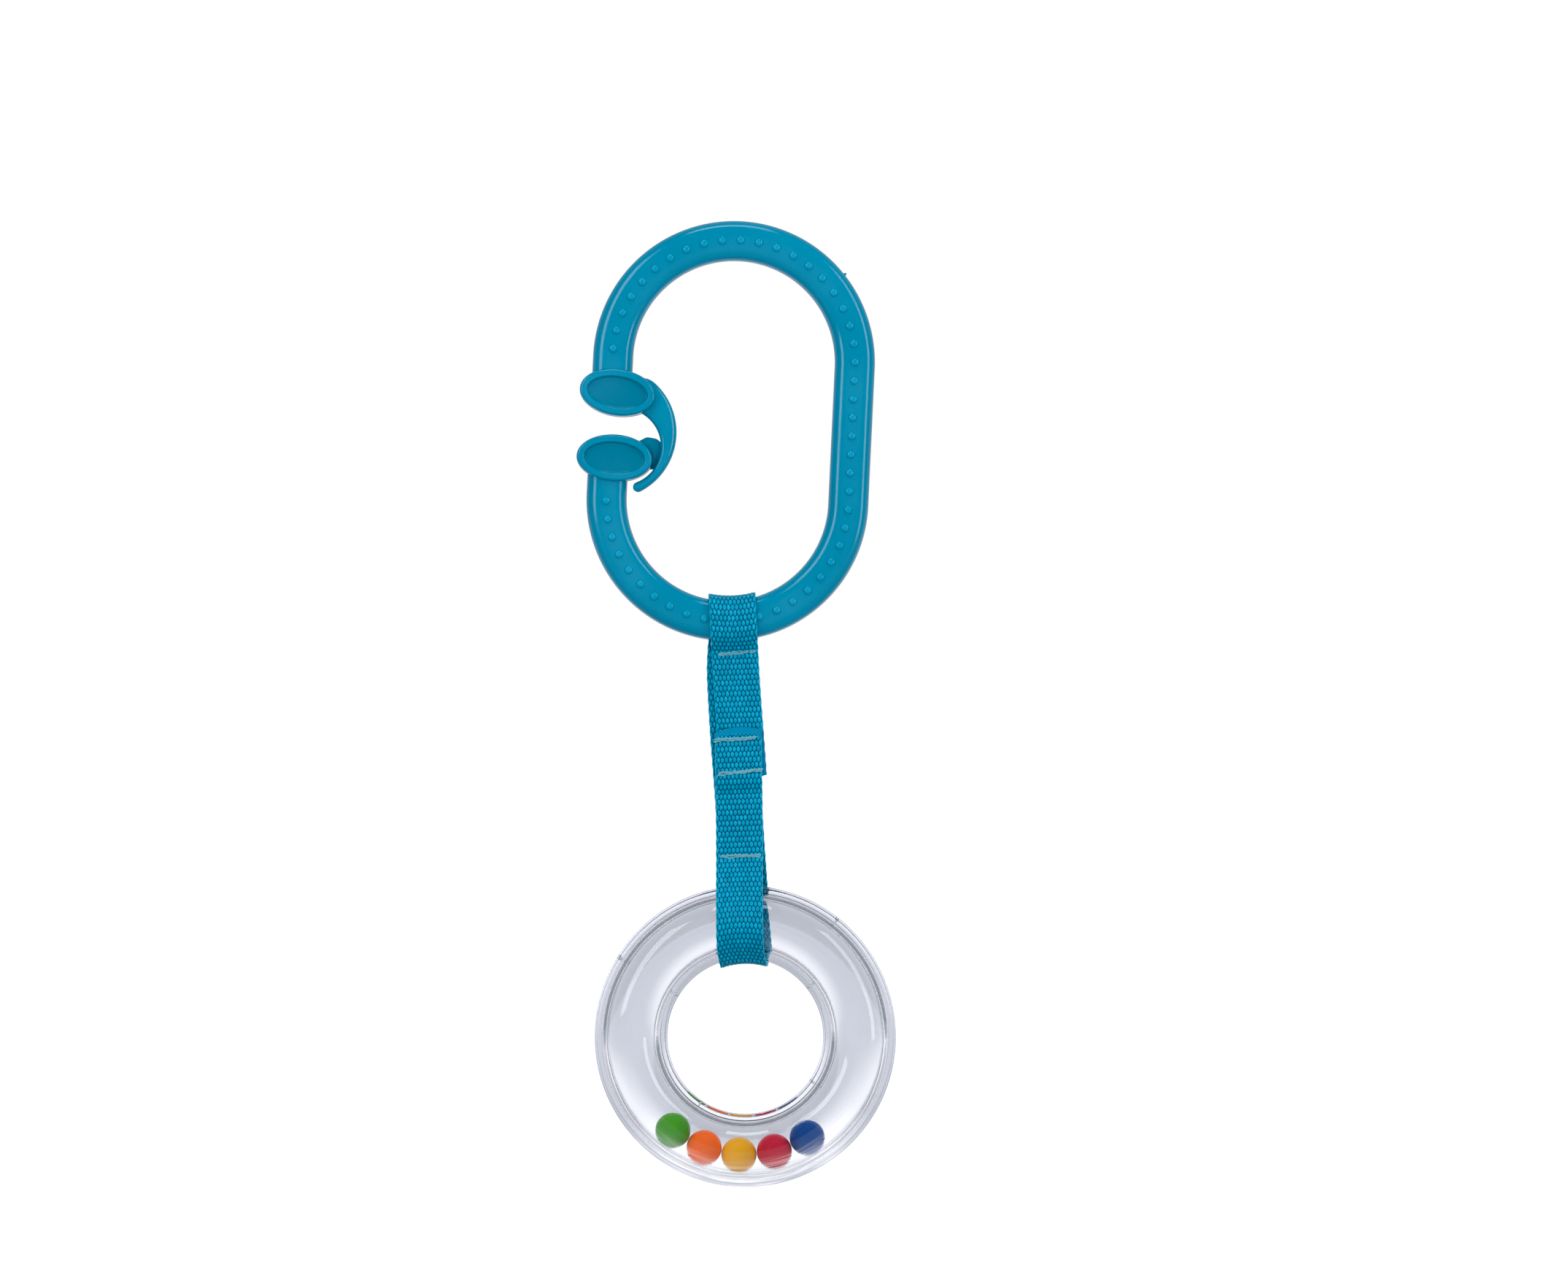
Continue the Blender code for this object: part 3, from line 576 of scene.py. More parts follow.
def pad_profile():
    """Inset from the oval's edge, and depth, from the parting line over the rim to the floor."""
    half = PAD_THICKNESS / 2
    points = [(-0.05 * MM, 0.0), (0.0, 0.12 * MM), (0.03 * MM, 1.6 * MM), (0.10 * MM, half - 0.75 * MM)]
    for step in range(7):
        angle = math.pi / 2 * step / 6
        inset = 0.12 * MM + RIM_RADIUS * (1 - math.cos(angle))
        points.append((inset, half - RIM_RADIUS * (1 - math.sin(angle))))
    points.append((1.15 * MM, half + 0.02 * MM))
    for step in range(7):
        angle = math.pi / 2 * step / 6
        points.append((1.42 * MM + 0.30 * MM * math.sin(angle), half - 0.30 * MM * (1 - math.cos(angle))))
    points.append((1.84 * MM, half - 0.46 * MM))
    for step in range(5):
        angle = math.pi / 2 * step / 4
        inset = 1.90 * MM + 0.2 * MM * (1 - math.cos(angle))
        points.append((inset, half - 0.5 * MM - 0.2 * MM * math.sin(angle)))
    points += [(2.6 * MM, half - 0.7 * MM), (3.6 * MM, half - 0.7 * MM), (4.6 * MM, half - 0.7 * MM)]
    return points


def pad_shell(centre, tilt):
    front = [(inset, -depth) for inset, depth in reversed(pad_profile())]
    back = [(inset, depth) for inset, depth in pad_profile()]
    angle = np.linspace(0, 2 * math.pi, 120, endpoint=False)
    rings = []
    for inset, depth in front[:-1] + back:
        x = (PAD_LENGTH / 2 - inset) * np.cos(angle)
        z = (PAD_WIDTH / 2 - inset) * np.sin(angle)
        rings.append(np.stack([x, np.full_like(x, depth), z], -1))
    verts, faces = capped_tube(rings)
    return transform(verts, Matrix.Translation(centre) @ Matrix.Rotation(tilt, 4, "Y")), faces


def painted_dish_shade(verts):
    """Weight of the painted shade: 1 on the floor of each pad's dish, easing to 0 up its wall; 0 elsewhere.
    """
    share = np.zeros(len(verts))
    for side, tilt in ((1, PAD_TILTS[0]), (-1, PAD_TILTS[1])):
        placed = Matrix.Translation(pad_centre(side)) @ Matrix.Rotation(tilt, 4, "Y")
        local = transform(verts, placed.inverted())
        across = local[:, 0] / (PAD_LENGTH / 2 - 1.75 * MM)
        up = local[:, 2] / (PAD_WIDTH / 2 - 1.75 * MM)
        inside = across ** 2 + up ** 2
        below = (PAD_THICKNESS / 2 - np.abs(local[:, 1])) / (0.7 * MM)
        share = np.where(inside < 1, np.clip(below, 0, 1), share)
    return share


def pad_centre(side):
    """Centre of the upper pad (side 1) or the lower pad (side -1), in the link's frame."""
    return Vector((PAD_SHIFT - LINK_RADIUS, 0.0, LINK_CENTRES / 2 + side * (PAD_GAP + PAD_WIDTH) / 2))


def tongue_shell():
    length, thickness, height = TONGUE_SIZE
    centre = pad_centre(-1) + Vector((PAD_LENGTH / 2 + TONGUE_REACH - length / 2, 0.0, TONGUE_RISE))
    front = HOOK_BACK + 0.25 * MM
    angle = np.linspace(0, 2 * math.pi, 72, endpoint=False)
    wobble = 0.10 * MM * np.sin(5 * angle) + 0.06 * MM * np.sin(11 * angle + 1.0)
    rings = []
    for inset, depth in ((0.35, 0.0), (0.1, 0.06), (0.0, 0.25), (0.0, 0.75), (0.1, 0.94), (0.35, 1.0)):
        x = centre.x + (length / 2 - inset * 0.6 * MM + wobble) * np.cos(angle)
        z = centre.z + (height / 2 - inset * 0.6 * MM + wobble) * np.sin(angle)
        rings.append(np.stack([x, np.full_like(x, front + depth * thickness), z], -1))
    return capped_tube(rings)


def nib_shell():
    """The little nib of flash that the mould leaves on the bar's outer edge."""
    turn = math.radians(41)
    reach = LINK_RADIUS + BAR_WIDTH / 2
    base = Vector((reach * math.cos(turn), 0.0, LINK_CENTRES + reach * math.sin(turn)))
    angle = np.linspace(0, 2 * math.pi, 12, endpoint=False)
    rings = []
    for share in (-0.6, 0.0, 0.5, 0.85, 1.0):
        radius = 0.34 * MM * (1 - max(share, 0.0) ** 2) + 0.03 * MM
        rise = np.full(12, share * 0.55 * MM)
        ring = np.stack([radius * np.cos(angle), radius * 0.8 * np.sin(angle), rise], -1)
        rings.append(transform(ring, Matrix.Translation(base) @ Matrix.Rotation(math.pi / 2 - turn, 4, "Y")))
    return capped_tube(rings)


def make_link(material):
    """The link, with a painted-shade weight on its points: 1 on the dish floors, painted darker, -1 on
    raised detail, painted lighter, 0 elsewhere.
    """
    pads = [pad_shell(pad_centre(side), tilt) for side, tilt in zip((1, -1), PAD_TILTS)]
    plain = join_shells([bar_shell(), *pads])
    raised = join_shells([tongue_shell(), nib_shell()]
                         + [dome_shell(x, z, side) for x, z in dot_places() for side in (-1, 1)])
    # marks is the painted-shade weight: darker dish floors, lighter dots, tongue and nib.
    marks = np.concatenate([painted_dish_shade(np.array(plain[0])), np.full(len(raised[0]), -1.0)])
    verts, faces = join_shells([plain, raised])
    link = mesh_piece("link_moulding", transform(verts, LINK_FRAME), faces, material)
    painted_shade = link.data.attributes.new("painted_shade_weight", "FLOAT", "POINT")
    painted_shade.data.foreach_set("value", marks.astype(np.float32))
    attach(link, "link")
    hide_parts("link_frame")


def hook_centres():
    inner_rise, outer_rise = HOOK_RISES
    reach = PAD_LENGTH / 2 + HOOK_TO_PAD - math.sqrt(HOOK_INNER_RADIUS ** 2 - inner_rise ** 2)
    inner = pad_centre(-1) + Vector((reach, 0.0, inner_rise))
    outer = inner + Vector((HOOK_INNER_RADIUS + HOOK_WIDTH - HOOK_OUTER_RADIUS, 0.0, outer_rise))
    return inner, outer


def make_hook(material):
    """The crescent arm, chamfered along its outer edge, with a round tip."""
    inner_centre, outer_centre = hook_centres()
    offset = outer_centre - inner_centre
    depth_middle = (HOOK_FRONT + HOOK_BACK) / 2
    across, deep = superellipse(1.0, HOOK_BACK - HOOK_FRONT, 3.6, 40)
    facing_out = np.clip(across * 2, 0, 1) * np.clip(-deep / (HOOK_BACK - HOOK_FRONT) * 2, 0, 1)
    sections = []
    angles = np.radians(np.linspace(78.0, -60.0, 76))
    for angle in angles:
        ray = Vector((math.cos(angle), 0.0, math.sin(angle)))
        along = offset.dot(ray)
        inner = math.sqrt(along ** 2 - offset.length_squared + HOOK_INNER_RADIUS ** 2) - along
        into_pad = max(0.0, (math.degrees(angle) - 50.0) / 29.0)
        width = (HOOK_OUTER_RADIUS - inner) * math.sqrt(1 - into_pad ** 2)
        middle = outer_centre + ray * (inner + width / 2)
        sections.append(hook_section(middle, ray, width, across, deep, facing_out, depth_middle))
    forward = Vector((ray.z, 0.0, -ray.x))
    for share in np.linspace(0.0, 1.0, 9)[1:]:
        turn = share * math.pi / 2 * 0.97
        centre = middle + forward * (width / 2 * math.sin(turn))
        narrow = width * math.cos(turn)
        sections.append(hook_section(centre, ray, narrow, across, deep, facing_out, depth_middle))
    verts, faces = capped_tube(sections)
    hook = mesh_piece("link_hook_arm", transform(verts, LINK_FRAME), faces, material)
    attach(hook, "hook")
    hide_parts("link_hook")


def hook_section(middle, ray, width, across, deep, facing_out, depth_middle):
    """One section of the arm; its front outer corner is cut back into a chamfer."""
    cut = min(0.5 * MM, width * 0.2)
    x = across * width
    y = deep + facing_out ** 1.5 * cut
    squeeze = min(1.0, 0.55 + width / (4.0 * MM))
    return [tuple(middle + ray * float(a) + Vector((0.0, depth_middle + float(b) * squeeze, 0.0)))
            for a, b in zip(x, y)]


# ---- Strap ------------------------------------------------------------------------------


def arc_points(centre, radius, start, end, count=24):
    angle = np.linspace(math.radians(start), math.radians(end), count)
    return np.stack([centre[0] + radius * np.cos(angle), centre[1] + radius * np.sin(angle)], -1)


def strap_route():
    """Centreline of the whole strip as (depth, height): from its hidden end to its cut end.

    Heights are above the centre of the bar. The strip goes up in front, over the
    bar, down behind, round the ring and up in front again, over its own start.
    """
    y = BAR_THICKNESS / 2 - BAR_CORNER
    z = BAR_WIDTH / 2 - BAR_CORNER
    corner = BAR_CORNER + WRAP_GAP + STRAP_THICKNESS / 2
    tube = TUBE_RADIUS + 0.15 * MM + WRAP_GAP + STRAP_THICKNESS / 2
    tube_level = RING_LEVEL + RING_PATH_RADIUS
    flange_level = RING_LEVEL + RING_PATH_RADIUS - TUBE_RADIUS - FLANGE_WIDTH
    nose = WRAP_GAP + STRAP_THICKNESS / 2
    flange = FLANGE_THICKNESS + 0.15 * MM
    inner = LAYER_Y
    outer = OUTER_LAYER_Y
    parts = [
        np.array([(-inner, HIDDEN_END), (-inner, SEAMS[0] + 0.2 * MM)]),
        arc_points((-y, -z), corner, 225, 180),
        arc_points((-y, z), corner, 180, 90),
        arc_points((y, z), corner, 90, 0),
        arc_points((y, -z), corner, 0, -45),
        np.array([(inner, SEAMS[0] + 0.2 * MM), (inner, SEAMS[3] - 0.2 * MM)]),
        arc_points((0.0, tube_level), tube, 31, -45),
        arc_points((flange, flange_level), nose, -50, -90, 6),
        arc_points((-flange, flange_level), nose, -90, -130, 6),
        arc_points((0.0, tube_level), tube, -135, -211),
        np.array([(-inner, SEAMS[3] - 0.2 * MM), (-inner, HIDDEN_END - 3.2 * MM)]),
        np.array([(-outer, HIDDEN_END - 0.6 * MM), (-outer, OVERLAP_TOP)]),
    ]
    return smooth_route(np.concatenate(parts))


def smooth_route(points, step=0.05 * MM, softness=0.55 * MM):
    """Even steps along a route, with its corners eased."""
    lengths = np.concatenate([[0.0], np.cumsum(np.linalg.norm(np.diff(points, axis=0), axis=1))])
    even = np.arange(0.0, lengths[-1], step)
    route = np.stack([np.interp(even, lengths, points[:, axis]) for axis in (0, 1)], -1)
    reach = int(3 * softness / step)
    weights = np.exp(-0.5 * (np.arange(-reach, reach + 1) * step / softness) ** 2)
    weights /= weights.sum()
    for axis in (0, 1):
        start, end = route[0, axis], route[-1, axis]
        run_in = route[0, axis] - (route[reach:0:-1, axis] - start)
        run_out = end - (route[-2:-reach - 2:-1, axis] - end)
        padded = np.concatenate([run_in, route[:, axis], run_out])
        route[:, axis] = np.convolve(padded, weights, mode="valid")
    return route


class Strip:
    """The strap's centreline, sampled by the distance along the strip."""

    def __init__(self):
        self.route = strap_route()
        self.along = np.concatenate([[0.0], np.cumsum(np.linalg.norm(np.diff(self.route, axis=0), axis=1))])
        self.length = self.along[-1]
        run = np.gradient(self.route, self.along, axis=0)
        run /= np.linalg.norm(run, axis=1)[:, None]
        self.normal = np.stack([-run[:, 1], run[:, 0]], -1)

    def at(self, s):
        point = np.stack([np.interp(s, self.along, self.route[:, axis]) for axis in (0, 1)], -1)
        normal = np.stack([np.interp(s, self.along, self.normal[:, axis]) for axis in (0, 1)], -1)
        return point, normal / np.linalg.norm(normal, axis=-1)[..., None]

    def reach(self, height, layer):
        """Distance along the strip where a layer passes a height: front, back or outer."""
        top = int(np.argmax(self.route[:, 1]))
        bottom = int(np.argmin(self.route[:, 1]))
        span = {"front": (0, top), "back": (top, bottom), "outer": (bottom, len(self.route))}[layer]
        heights = self.route[span[0]:span[1], 1]
        return self.along[span[0] + int(np.argmin(np.abs(heights - height)))]


def sideways(s, strip):
    """How far the strip lies to the right of its axis, as it hangs a little askew."""
    knots = [
        (0.0, 1.5), (strip.reach(-23 * MM, "front"), 1.05), (strip.reach(-12 * MM, "front"), 0.6),
        (strip.reach(-2 * MM, "front"), 0.45),
        (strip.reach(-3 * MM, "back"), 0.1), (strip.reach(-10 * MM, "back"), -0.75),
        (strip.reach(-24 * MM, "back"), -0.45), (strip.reach(-36 * MM, "back"), 0.1),
        (strip.reach(-56 * MM, "back"), 0.8), (strip.reach(-70 * MM, "back"), 1.1),
        (strip.reach(-70 * MM, "outer"), -0.5), (strip.reach(-55 * MM, "outer"), -0.1),
        (strip.reach(-40 * MM, "outer"), 0.35), (strip.length, 0.65),
    ]
    places = np.array(knots)
    fine = np.linspace(0.0, strip.length, 400)
    eased = np.interp(fine, places[:, 0], places[:, 1] * MM)
    weights = np.hanning(31)
    eased = np.convolve(np.pad(eased, 15, mode="edge"), weights / weights.sum(), mode="valid")
    return np.interp(s, fine, eased)


def bow(x, height):
    """Rise or drop of the strip's sides, where they follow the bar or the ring."""
    bar_share = np.clip((height - SEAMS[0]) / (-BAR_WIDTH / 2 - SEAMS[0]), 0, 1)
    bar_radius = LINK_RADIUS - height
    up = bar_share * (bar_radius - np.sqrt(bar_radius ** 2 - x ** 2))
    tube_level = RING_LEVEL + RING_PATH_RADIUS
    ring_share = np.clip((SEAMS[3] - height) / (SEAMS[3] - tube_level), 0, 1)
    ring_radius = np.maximum(height - RING_LEVEL, STRAP_WIDTH)
    down = ring_share * (ring_radius - np.sqrt(ring_radius ** 2 - x ** 2))
    return up - down


def float_pattern(s, t):
    """Height, 0 to 1, and tone of the warp floats at distances s along and t across."""
    column_pitch = (STRAP_WIDTH - SELVEDGE) / WARP_COLUMNS
    row = np.floor(s / WEAVE_ROW)
    best = np.zeros(np.broadcast(s, t).shape)
    tone = np.zeros_like(best)
    for shift in (-1, 0, 1):
        this_row = row + shift
        stagger = 0.5 * (this_row % 2)
        column = np.round(t / column_pitch - stagger)
        ds = (s - (this_row + 0.5) * WEAVE_ROW) / (0.56 * WEAVE_ROW)
        dt = (t - (column + stagger) * column_pitch) / (0.46 * column_pitch)
        bump = np.sqrt(np.clip(1 - np.abs(ds) ** 2.2 - np.abs(dt) ** 2.0, 0, 1))
        seed = np.sin(this_row * 12.9898 + column * 78.233) * 43758.5453
        here = bump > best
        tone = np.where(here, seed - np.floor(seed), tone)
        best = np.maximum(best, bump)
    return best, tone


def section_points(per_column=8):
    """Round the strip: across distance, side (+1 outer, -1 inner face), and edge roll."""
    half = STRAP_WIDTH / 2
    edge = SELVEDGE / 2
    count = WARP_COLUMNS * per_column
    across = np.linspace(-half + edge, half - edge, count)
    roll = np.linspace(0, math.pi, 9)[1:-1]
    side = half - edge + edge * np.sin(roll)
    t = np.concatenate([across, side, across[::-1], -side])
    lift = np.concatenate([np.ones(count), np.cos(roll), -np.ones(count), -np.cos(roll)])
    return t, lift


def weave(strip, name, start, end, material, melted_ends=()):
    """A stretch of webbing from one distance along the strip to another."""
    rows = int((end - start) / (WEAVE_ROW / 8))
    s = np.linspace(start, end, rows + 1)[:, None]
    t, lift = section_points()
    t, lift = t[None, :], lift[None, :]
    melt = np.zeros_like(s * t)
    arch = np.zeros_like(melt)
    for which in melted_ends:
        from_end = s if which == "start" else strip.length - s
        near = np.clip(1 - from_end / (3.0 * MM), 0, 1)
        bulge = 0.9 * MM * (1 - ((t - 0.6 * MM) / (STRAP_WIDTH / 2)) ** 2) - 0.5 * MM
        arch = arch + (1 if which == "end" else -1) * near * bulge
        melt = np.maximum(melt, np.clip((1.5 * MM - from_end) / (0.4 * MM), 0, 1))
        if which == "start":
            edge = np.clip((t - STRAP_WIDTH / 2 + 1.3 * MM) / (0.4 * MM), 0, 1)
            melt = np.maximum(melt, edge * np.clip((11.5 * MM - from_end) / (2.0 * MM), 0, 1))
    sample = np.clip(s + arch, 0.0, strip.length)
    beyond = (s + arch) - sample
    point, normal = strip.at(sample)
    height, tone = float_pattern(s + arch, t)
    height = height * (1 - melt) + 0.60 * melt
    on_face = np.abs(lift) > 0.999
    scallop = 0.5 + 0.5 * np.cos(2 * math.pi * s / (2 * WEAVE_ROW) + np.where(t > 0, 0.0, math.pi))
    # The edges' scallops also set their painted shade through the float height.
    height = np.where(on_face, height, 0.55 + 0.35 * scallop)
    tone = np.where(on_face, tone, 0.95)
    thickness = STRAP_THICKNESS / 2 - FLOAT_HEIGHT * (1 - height)
    thickness = thickness * (1 - 0.1 * melt)
    side = t + np.where(on_face, 0.0, np.sign(t) * 0.10 * MM * scallop)
    x = side + sideways(s, strip)
    offset = lift * thickness
    run = np.stack([normal[..., 1], -normal[..., 0]], -1)
    depth = point[..., 0] + normal[..., 0] * offset + run[..., 0] * beyond
    rise = point[..., 1] + normal[..., 1] * offset + run[..., 1] * beyond
    rise = rise + bow(side, point[..., 1])
    verts = np.stack([x + BAR_CENTRE.x + 0 * rise, depth + 0 * x, rise + BAR_CENTRE.z], -1)
    columns = verts.shape[1]
    faces = tube_faces(rows + 1, columns)
    if "start" in melted_ends:
        faces.append(tuple(range(columns))[::-1])
    if "end" in melted_ends:
        faces.append(tuple(range(rows * columns, (rows + 1) * columns)))
    piece = mesh_piece(name, verts.reshape(-1, 3), faces, material)
    add_cloth_values(piece, height, tone, (s + 0 * t) / MM, (t + 0 * s) / MM)
    fused = piece.data.attributes.new("melted", "FLOAT", "POINT")
    fused.data.foreach_set("value", melt.astype(np.float32).ravel())
    return piece


def add_cloth_values(piece, height, tone, along, across):
    """Store the float height, which sets the yarn finish's painted shade, the yarn's tone and cloth
    coordinates on the mesh.
    """
    mesh = piece.data
    for label, values in (("float_height", height), ("yarn_tone", tone)):
        attribute = mesh.attributes.new(label, "FLOAT", "POINT")
        attribute.data.foreach_set("value", np.ascontiguousarray(values, dtype=np.float32).ravel())
    corners = np.zeros(len(mesh.loops), dtype=np.int32)
    mesh.loops.foreach_get("vertex_index", corners)
    flat = np.stack([np.ravel(along), np.ravel(across)], -1).astype(np.float32)
    layer = mesh.uv_layers.new(name="cloth")
    layer.data.foreach_set("uv", flat[corners].ravel())


def make_strap(material):
    strip = Strip()
    low_neck = LOWER_NECK.z - BAR_CENTRE.z
    part_1 = -24.0 * MM
    part_2 = low_neck + 2.0 * MM

    top = weave(strip, "webbing_over_link", 0.0, strip.reach(part_1, "back"), material, ("start",))
    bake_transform(top)
    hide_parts("strap_upper_loop", "strap_front_upper")

    back = weave(strip, "webbing_back", strip.reach(part_1, "back"), strip.reach(part_2, "back"), material)
    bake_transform(back)
    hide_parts("strap_back_upper", "strap_back_lower")

    low = weave(
        strip, "webbing_round_ring", strip.reach(part_2, "back"), strip.reach(part_2, "outer"), material)
    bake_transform(low)
    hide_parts("strap_lower_loop")

    front = weave(strip, "webbing_overlap", strip.reach(part_2, "outer"), strip.length, material, ("end",))
    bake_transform(front)
    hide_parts("strap_overlap", "strap_front_lower")


# ---- Stitches --------------------------------------------------------------------------


def ply_shell(points, radius, turns, phase):
    """One ply of a thread: a thin tube that winds round a path."""
    path = np.asarray(points)
    run = np.gradient(path, axis=0)
    run /= np.linalg.norm(run, axis=1)[:, None]
    up = np.array([0.0, -1.0, 0.0])
    side = np.cross(run, up)
    side /= np.linalg.norm(side, axis=1)[:, None]
    top = np.cross(side, run)
    share = np.linspace(0.0, 1.0, len(path))
    wind = 2 * math.pi * turns * share + phase
    pinch = np.clip(np.minimum(share, 1 - share) * 12, 0.35, 1.0)
    centre = path + (side * np.cos(wind)[:, None] + top * np.sin(wind)[:, None]) * radius * 0.62
    angle = np.linspace(0, 2 * math.pi, 8, endpoint=False)
    rings = centre[:, None, :] + (radius * 0.62 * pinch)[:, None, None] * (
        side[:, None, :] * np.cos(angle)[None, :, None] + top[:, None, :] * np.sin(angle)[None, :, None])
    return capped_tube(rings)


def make_seam(name, level, face, centre_x, width, slope, body, node, material, seed):
    """A row of lock stitches on the front and back, sewn over twice and a little ragged."""
    random = np.random.default_rng(seed)
    shells = []
    for side in (-1, 1):
        depth = face if side < 0 else LAYER_Y + STRAP_THICKNESS / 2
        for over in range(2):
            count = 6
            pitch = width / count
            drift = (over - 0.5) * 0.35 * MM
            for number in range(count):
                left = centre_x - width / 2 + (number + 0.12 * over) * pitch
                ends = random.normal(0.0, 0.09 * MM, 2) + drift
                share = np.linspace(0.0, 1.0, 18)
                x = left + pitch * (share * 1.04 - 0.02)
                sink = (0.10 - 0.42 * np.abs(2 * share - 1) ** 5) * MM
                y = side * (abs(depth) - 0.02 * MM + sink + over * 0.05 * MM)
                z = level + slope * (x - centre_x) + ends[0] * (1 - share) + ends[1] * share
                z = z + 0.06 * MM * np.sin(share * math.pi * 2 + seed + number)
                path = np.stack([x + BAR_CENTRE.x, y, z + BAR_CENTRE.z], -1)
                for phase in (0.0, math.pi):
                    shells.append(ply_shell(path, 0.21 * MM, 2.2, phase + number))
    verts, faces = join_shells(shells)
    piece = mesh_piece(name, verts, faces, material)
    count = len(piece.data.vertices)
    place = np.array([vert.co for vert in piece.data.vertices])
    tone = np.full(count, 0.6)
    add_cloth_values(piece, np.full(count, 0.75), tone, place[:, 0] / MM, place[:, 2] / MM)
    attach(piece, body)
    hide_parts(node)


def make_stitching(material):
    front = -(LAYER_Y + STRAP_THICKNESS / 2)
    outer = -(OUTER_LAYER_Y + STRAP_THICKNESS / 2)
    shape = (
        ("stitching_under_link", SEAMS[0], front, 0.9, 8.0, 0.06, "upper_loop", "seam_upper_loop"),
        ("stitching_overlap_top", SEAMS[1], outer, -0.1, 9.0, 0.04, "strap_upper", "seam_overlap_top"),
        ("stitching_overlap_bottom", SEAMS[2], outer, 0.7, 9.6, 0.07, "strap_upper", "seam_overlap_bottom"),
        ("stitching_above_ring", SEAMS[3], front, 0.2, 8.6, 0.0, "lower_loop", "seam_lower_loop"),
    )
    for seed, (name, level, face, centre_x, width, slope, body, node) in enumerate(shape):
        make_seam(name, level, face, centre_x * MM, width * MM, slope, body, node, material, seed + 3)


# ---- Ring and beads ---------------------------------------------------------------------


def shell_profile():
    """Section of one half of the ring, as (radius, depth) from its own seam."""
    foot = math.asin(FLANGE_THICKNESS / TUBE_RADIUS)
    edge = FLANGE_EDGE
    outer = RING_PATH_RADIUS + TUBE_RADIUS + FLANGE_WIDTH
    inner = RING_PATH_RADIUS - TUBE_RADIUS - FLANGE_WIDTH
    bore = TUBE_RADIUS - TUBE_WALL
    face = FLANGE_THICKNESS
    step = STEP_DOWN
    points = [(outer, 0.0), (outer, face - edge - step), (outer - edge, face - step)]
    lip = ((0.50 * MM, step), (0.62 * MM, 0.05 * MM), (0.72 * MM, 0.0))
    points += [(outer - inset, face - drop) for inset, drop in lip]
    for angle in np.linspace(foot, math.pi - foot, 49):
        points.append((RING_PATH_RADIUS + TUBE_RADIUS * math.cos(angle), TUBE_RADIUS * math.sin(angle)))
    points += [(inner + inset, face - drop) for inset, drop in reversed(lip)]
    points += [(inner + edge, face - step), (inner, face - edge - step), (inner, 0.0)]
    for angle in np.linspace(math.pi, 0.0, 41):
        points.append((RING_PATH_RADIUS + bore * math.cos(angle), bore * math.sin(angle)))
    return np.array(points)


def mark_shell(side, turn, radius, length, width):
    """A low rounded rib, radial in the ring's plane: a locating mark or a weld nick."""
    angle = np.linspace(0, 2 * math.pi, 16, endpoint=False)
    base = side * (FLANGE_THICKNESS + 0.02 * MM)
    rings = []
    for share, rise in ((1.0, 0.0), (0.85, 0.14), (0.5, 0.22), (0.1, 0.25)):
        x = radius + length / 2 * share * np.cos(angle)
        z = width / 2 * share * np.sin(angle)
        rings.append(np.stack([x, np.full_like(x, base + side * rise * MM), z], -1))
    verts, faces = capped_tube(rings)
    if side > 0:
        faces = [face[::-1] for face in faces]
    return transform(verts, Matrix.Rotation(-math.radians(turn), 4, "Y")), faces


def make_ring_half(name, side, node, material):
    """A clear half shell: side is -1 for the front one and 1 for the back one."""
    profile = shell_profile()
    steps = 240
    angle = np.linspace(0, 2 * math.pi, steps, endpoint=False)[:, None]
    radius = profile[None, :, 0]
    depth = side * (profile[None, :, 1] + HALF_SEAM) + 0 * angle
    rings = np.stack([radius * np.cos(angle), depth, radius * np.sin(angle)], -1)
    faces = tube_faces(steps, profile.shape[0], closed_rows=True)
    if side < 0:
        faces = [face[::-1] for face in faces]
    shells = [(rings.reshape(-1, 3), faces)]
    shells += [mark_shell(side, *mark) for mark in RING_MARKS]
    verts, faces = join_shells(shells)
    half = mesh_piece(name, np.array(verts) + np.array(RING_CENTRE), faces, material)
    half.data.set_sharp_from_angle(angle=math.radians(50))
    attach(half, "ring")
    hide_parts(node)


def make_bead(colour_name, material):
    """A bead where its CAD node rests, with the faint band its mould leaves."""
    low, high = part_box("bead_" + colour_name)
    centre = (Vector(low) + Vector(high)) / 2
    rows, columns = 49, 64
    polar = np.linspace(0.02, math.pi - 0.02, rows)[:, None]
    turn = np.linspace(0, 2 * math.pi, columns, endpoint=False)[None, :]
    band = BEAD_BAND * np.exp(-(((polar - math.pi / 2) / 0.025) ** 2))
    radius = BEAD_DIAMETER / 2 + band
    tilt = Matrix.Rotation(centre.x * 900.0, 3, Vector((0.3, 0.8, 0.5)).normalized())
    girth = radius * np.sin(polar)
    ball = np.stack([girth * np.cos(turn), girth * np.sin(turn), radius * np.cos(polar) + 0 * turn], -1)
    verts, faces = capped_tube(ball)
    verts = verts @ np.array(tilt).T + np.array(centre)
    bead = mesh_piece("rolling_bead_" + colour_name, verts, [face[::-1] for face in faces], material)
    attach(bead, colour_name + "_bead")
    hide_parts("bead_" + colour_name)


# ---- Stage, lights and camera --------------------------------------------------------------


def make_softbox(name, place, target, width, height, power):
    data = bpy.data.lights.new(name, "AREA")
    data.shape = "RECTANGLE"
    data.size = width
    data.size_y = height
    data.energy = power
    light = bpy.data.objects.new(name, data)
    bpy.context.scene.collection.objects.link(light)
    light.location = place
    light.rotation_euler = (Vector(target) - Vector(place)).to_track_quat("-Z", "Y").to_euler()
    return light


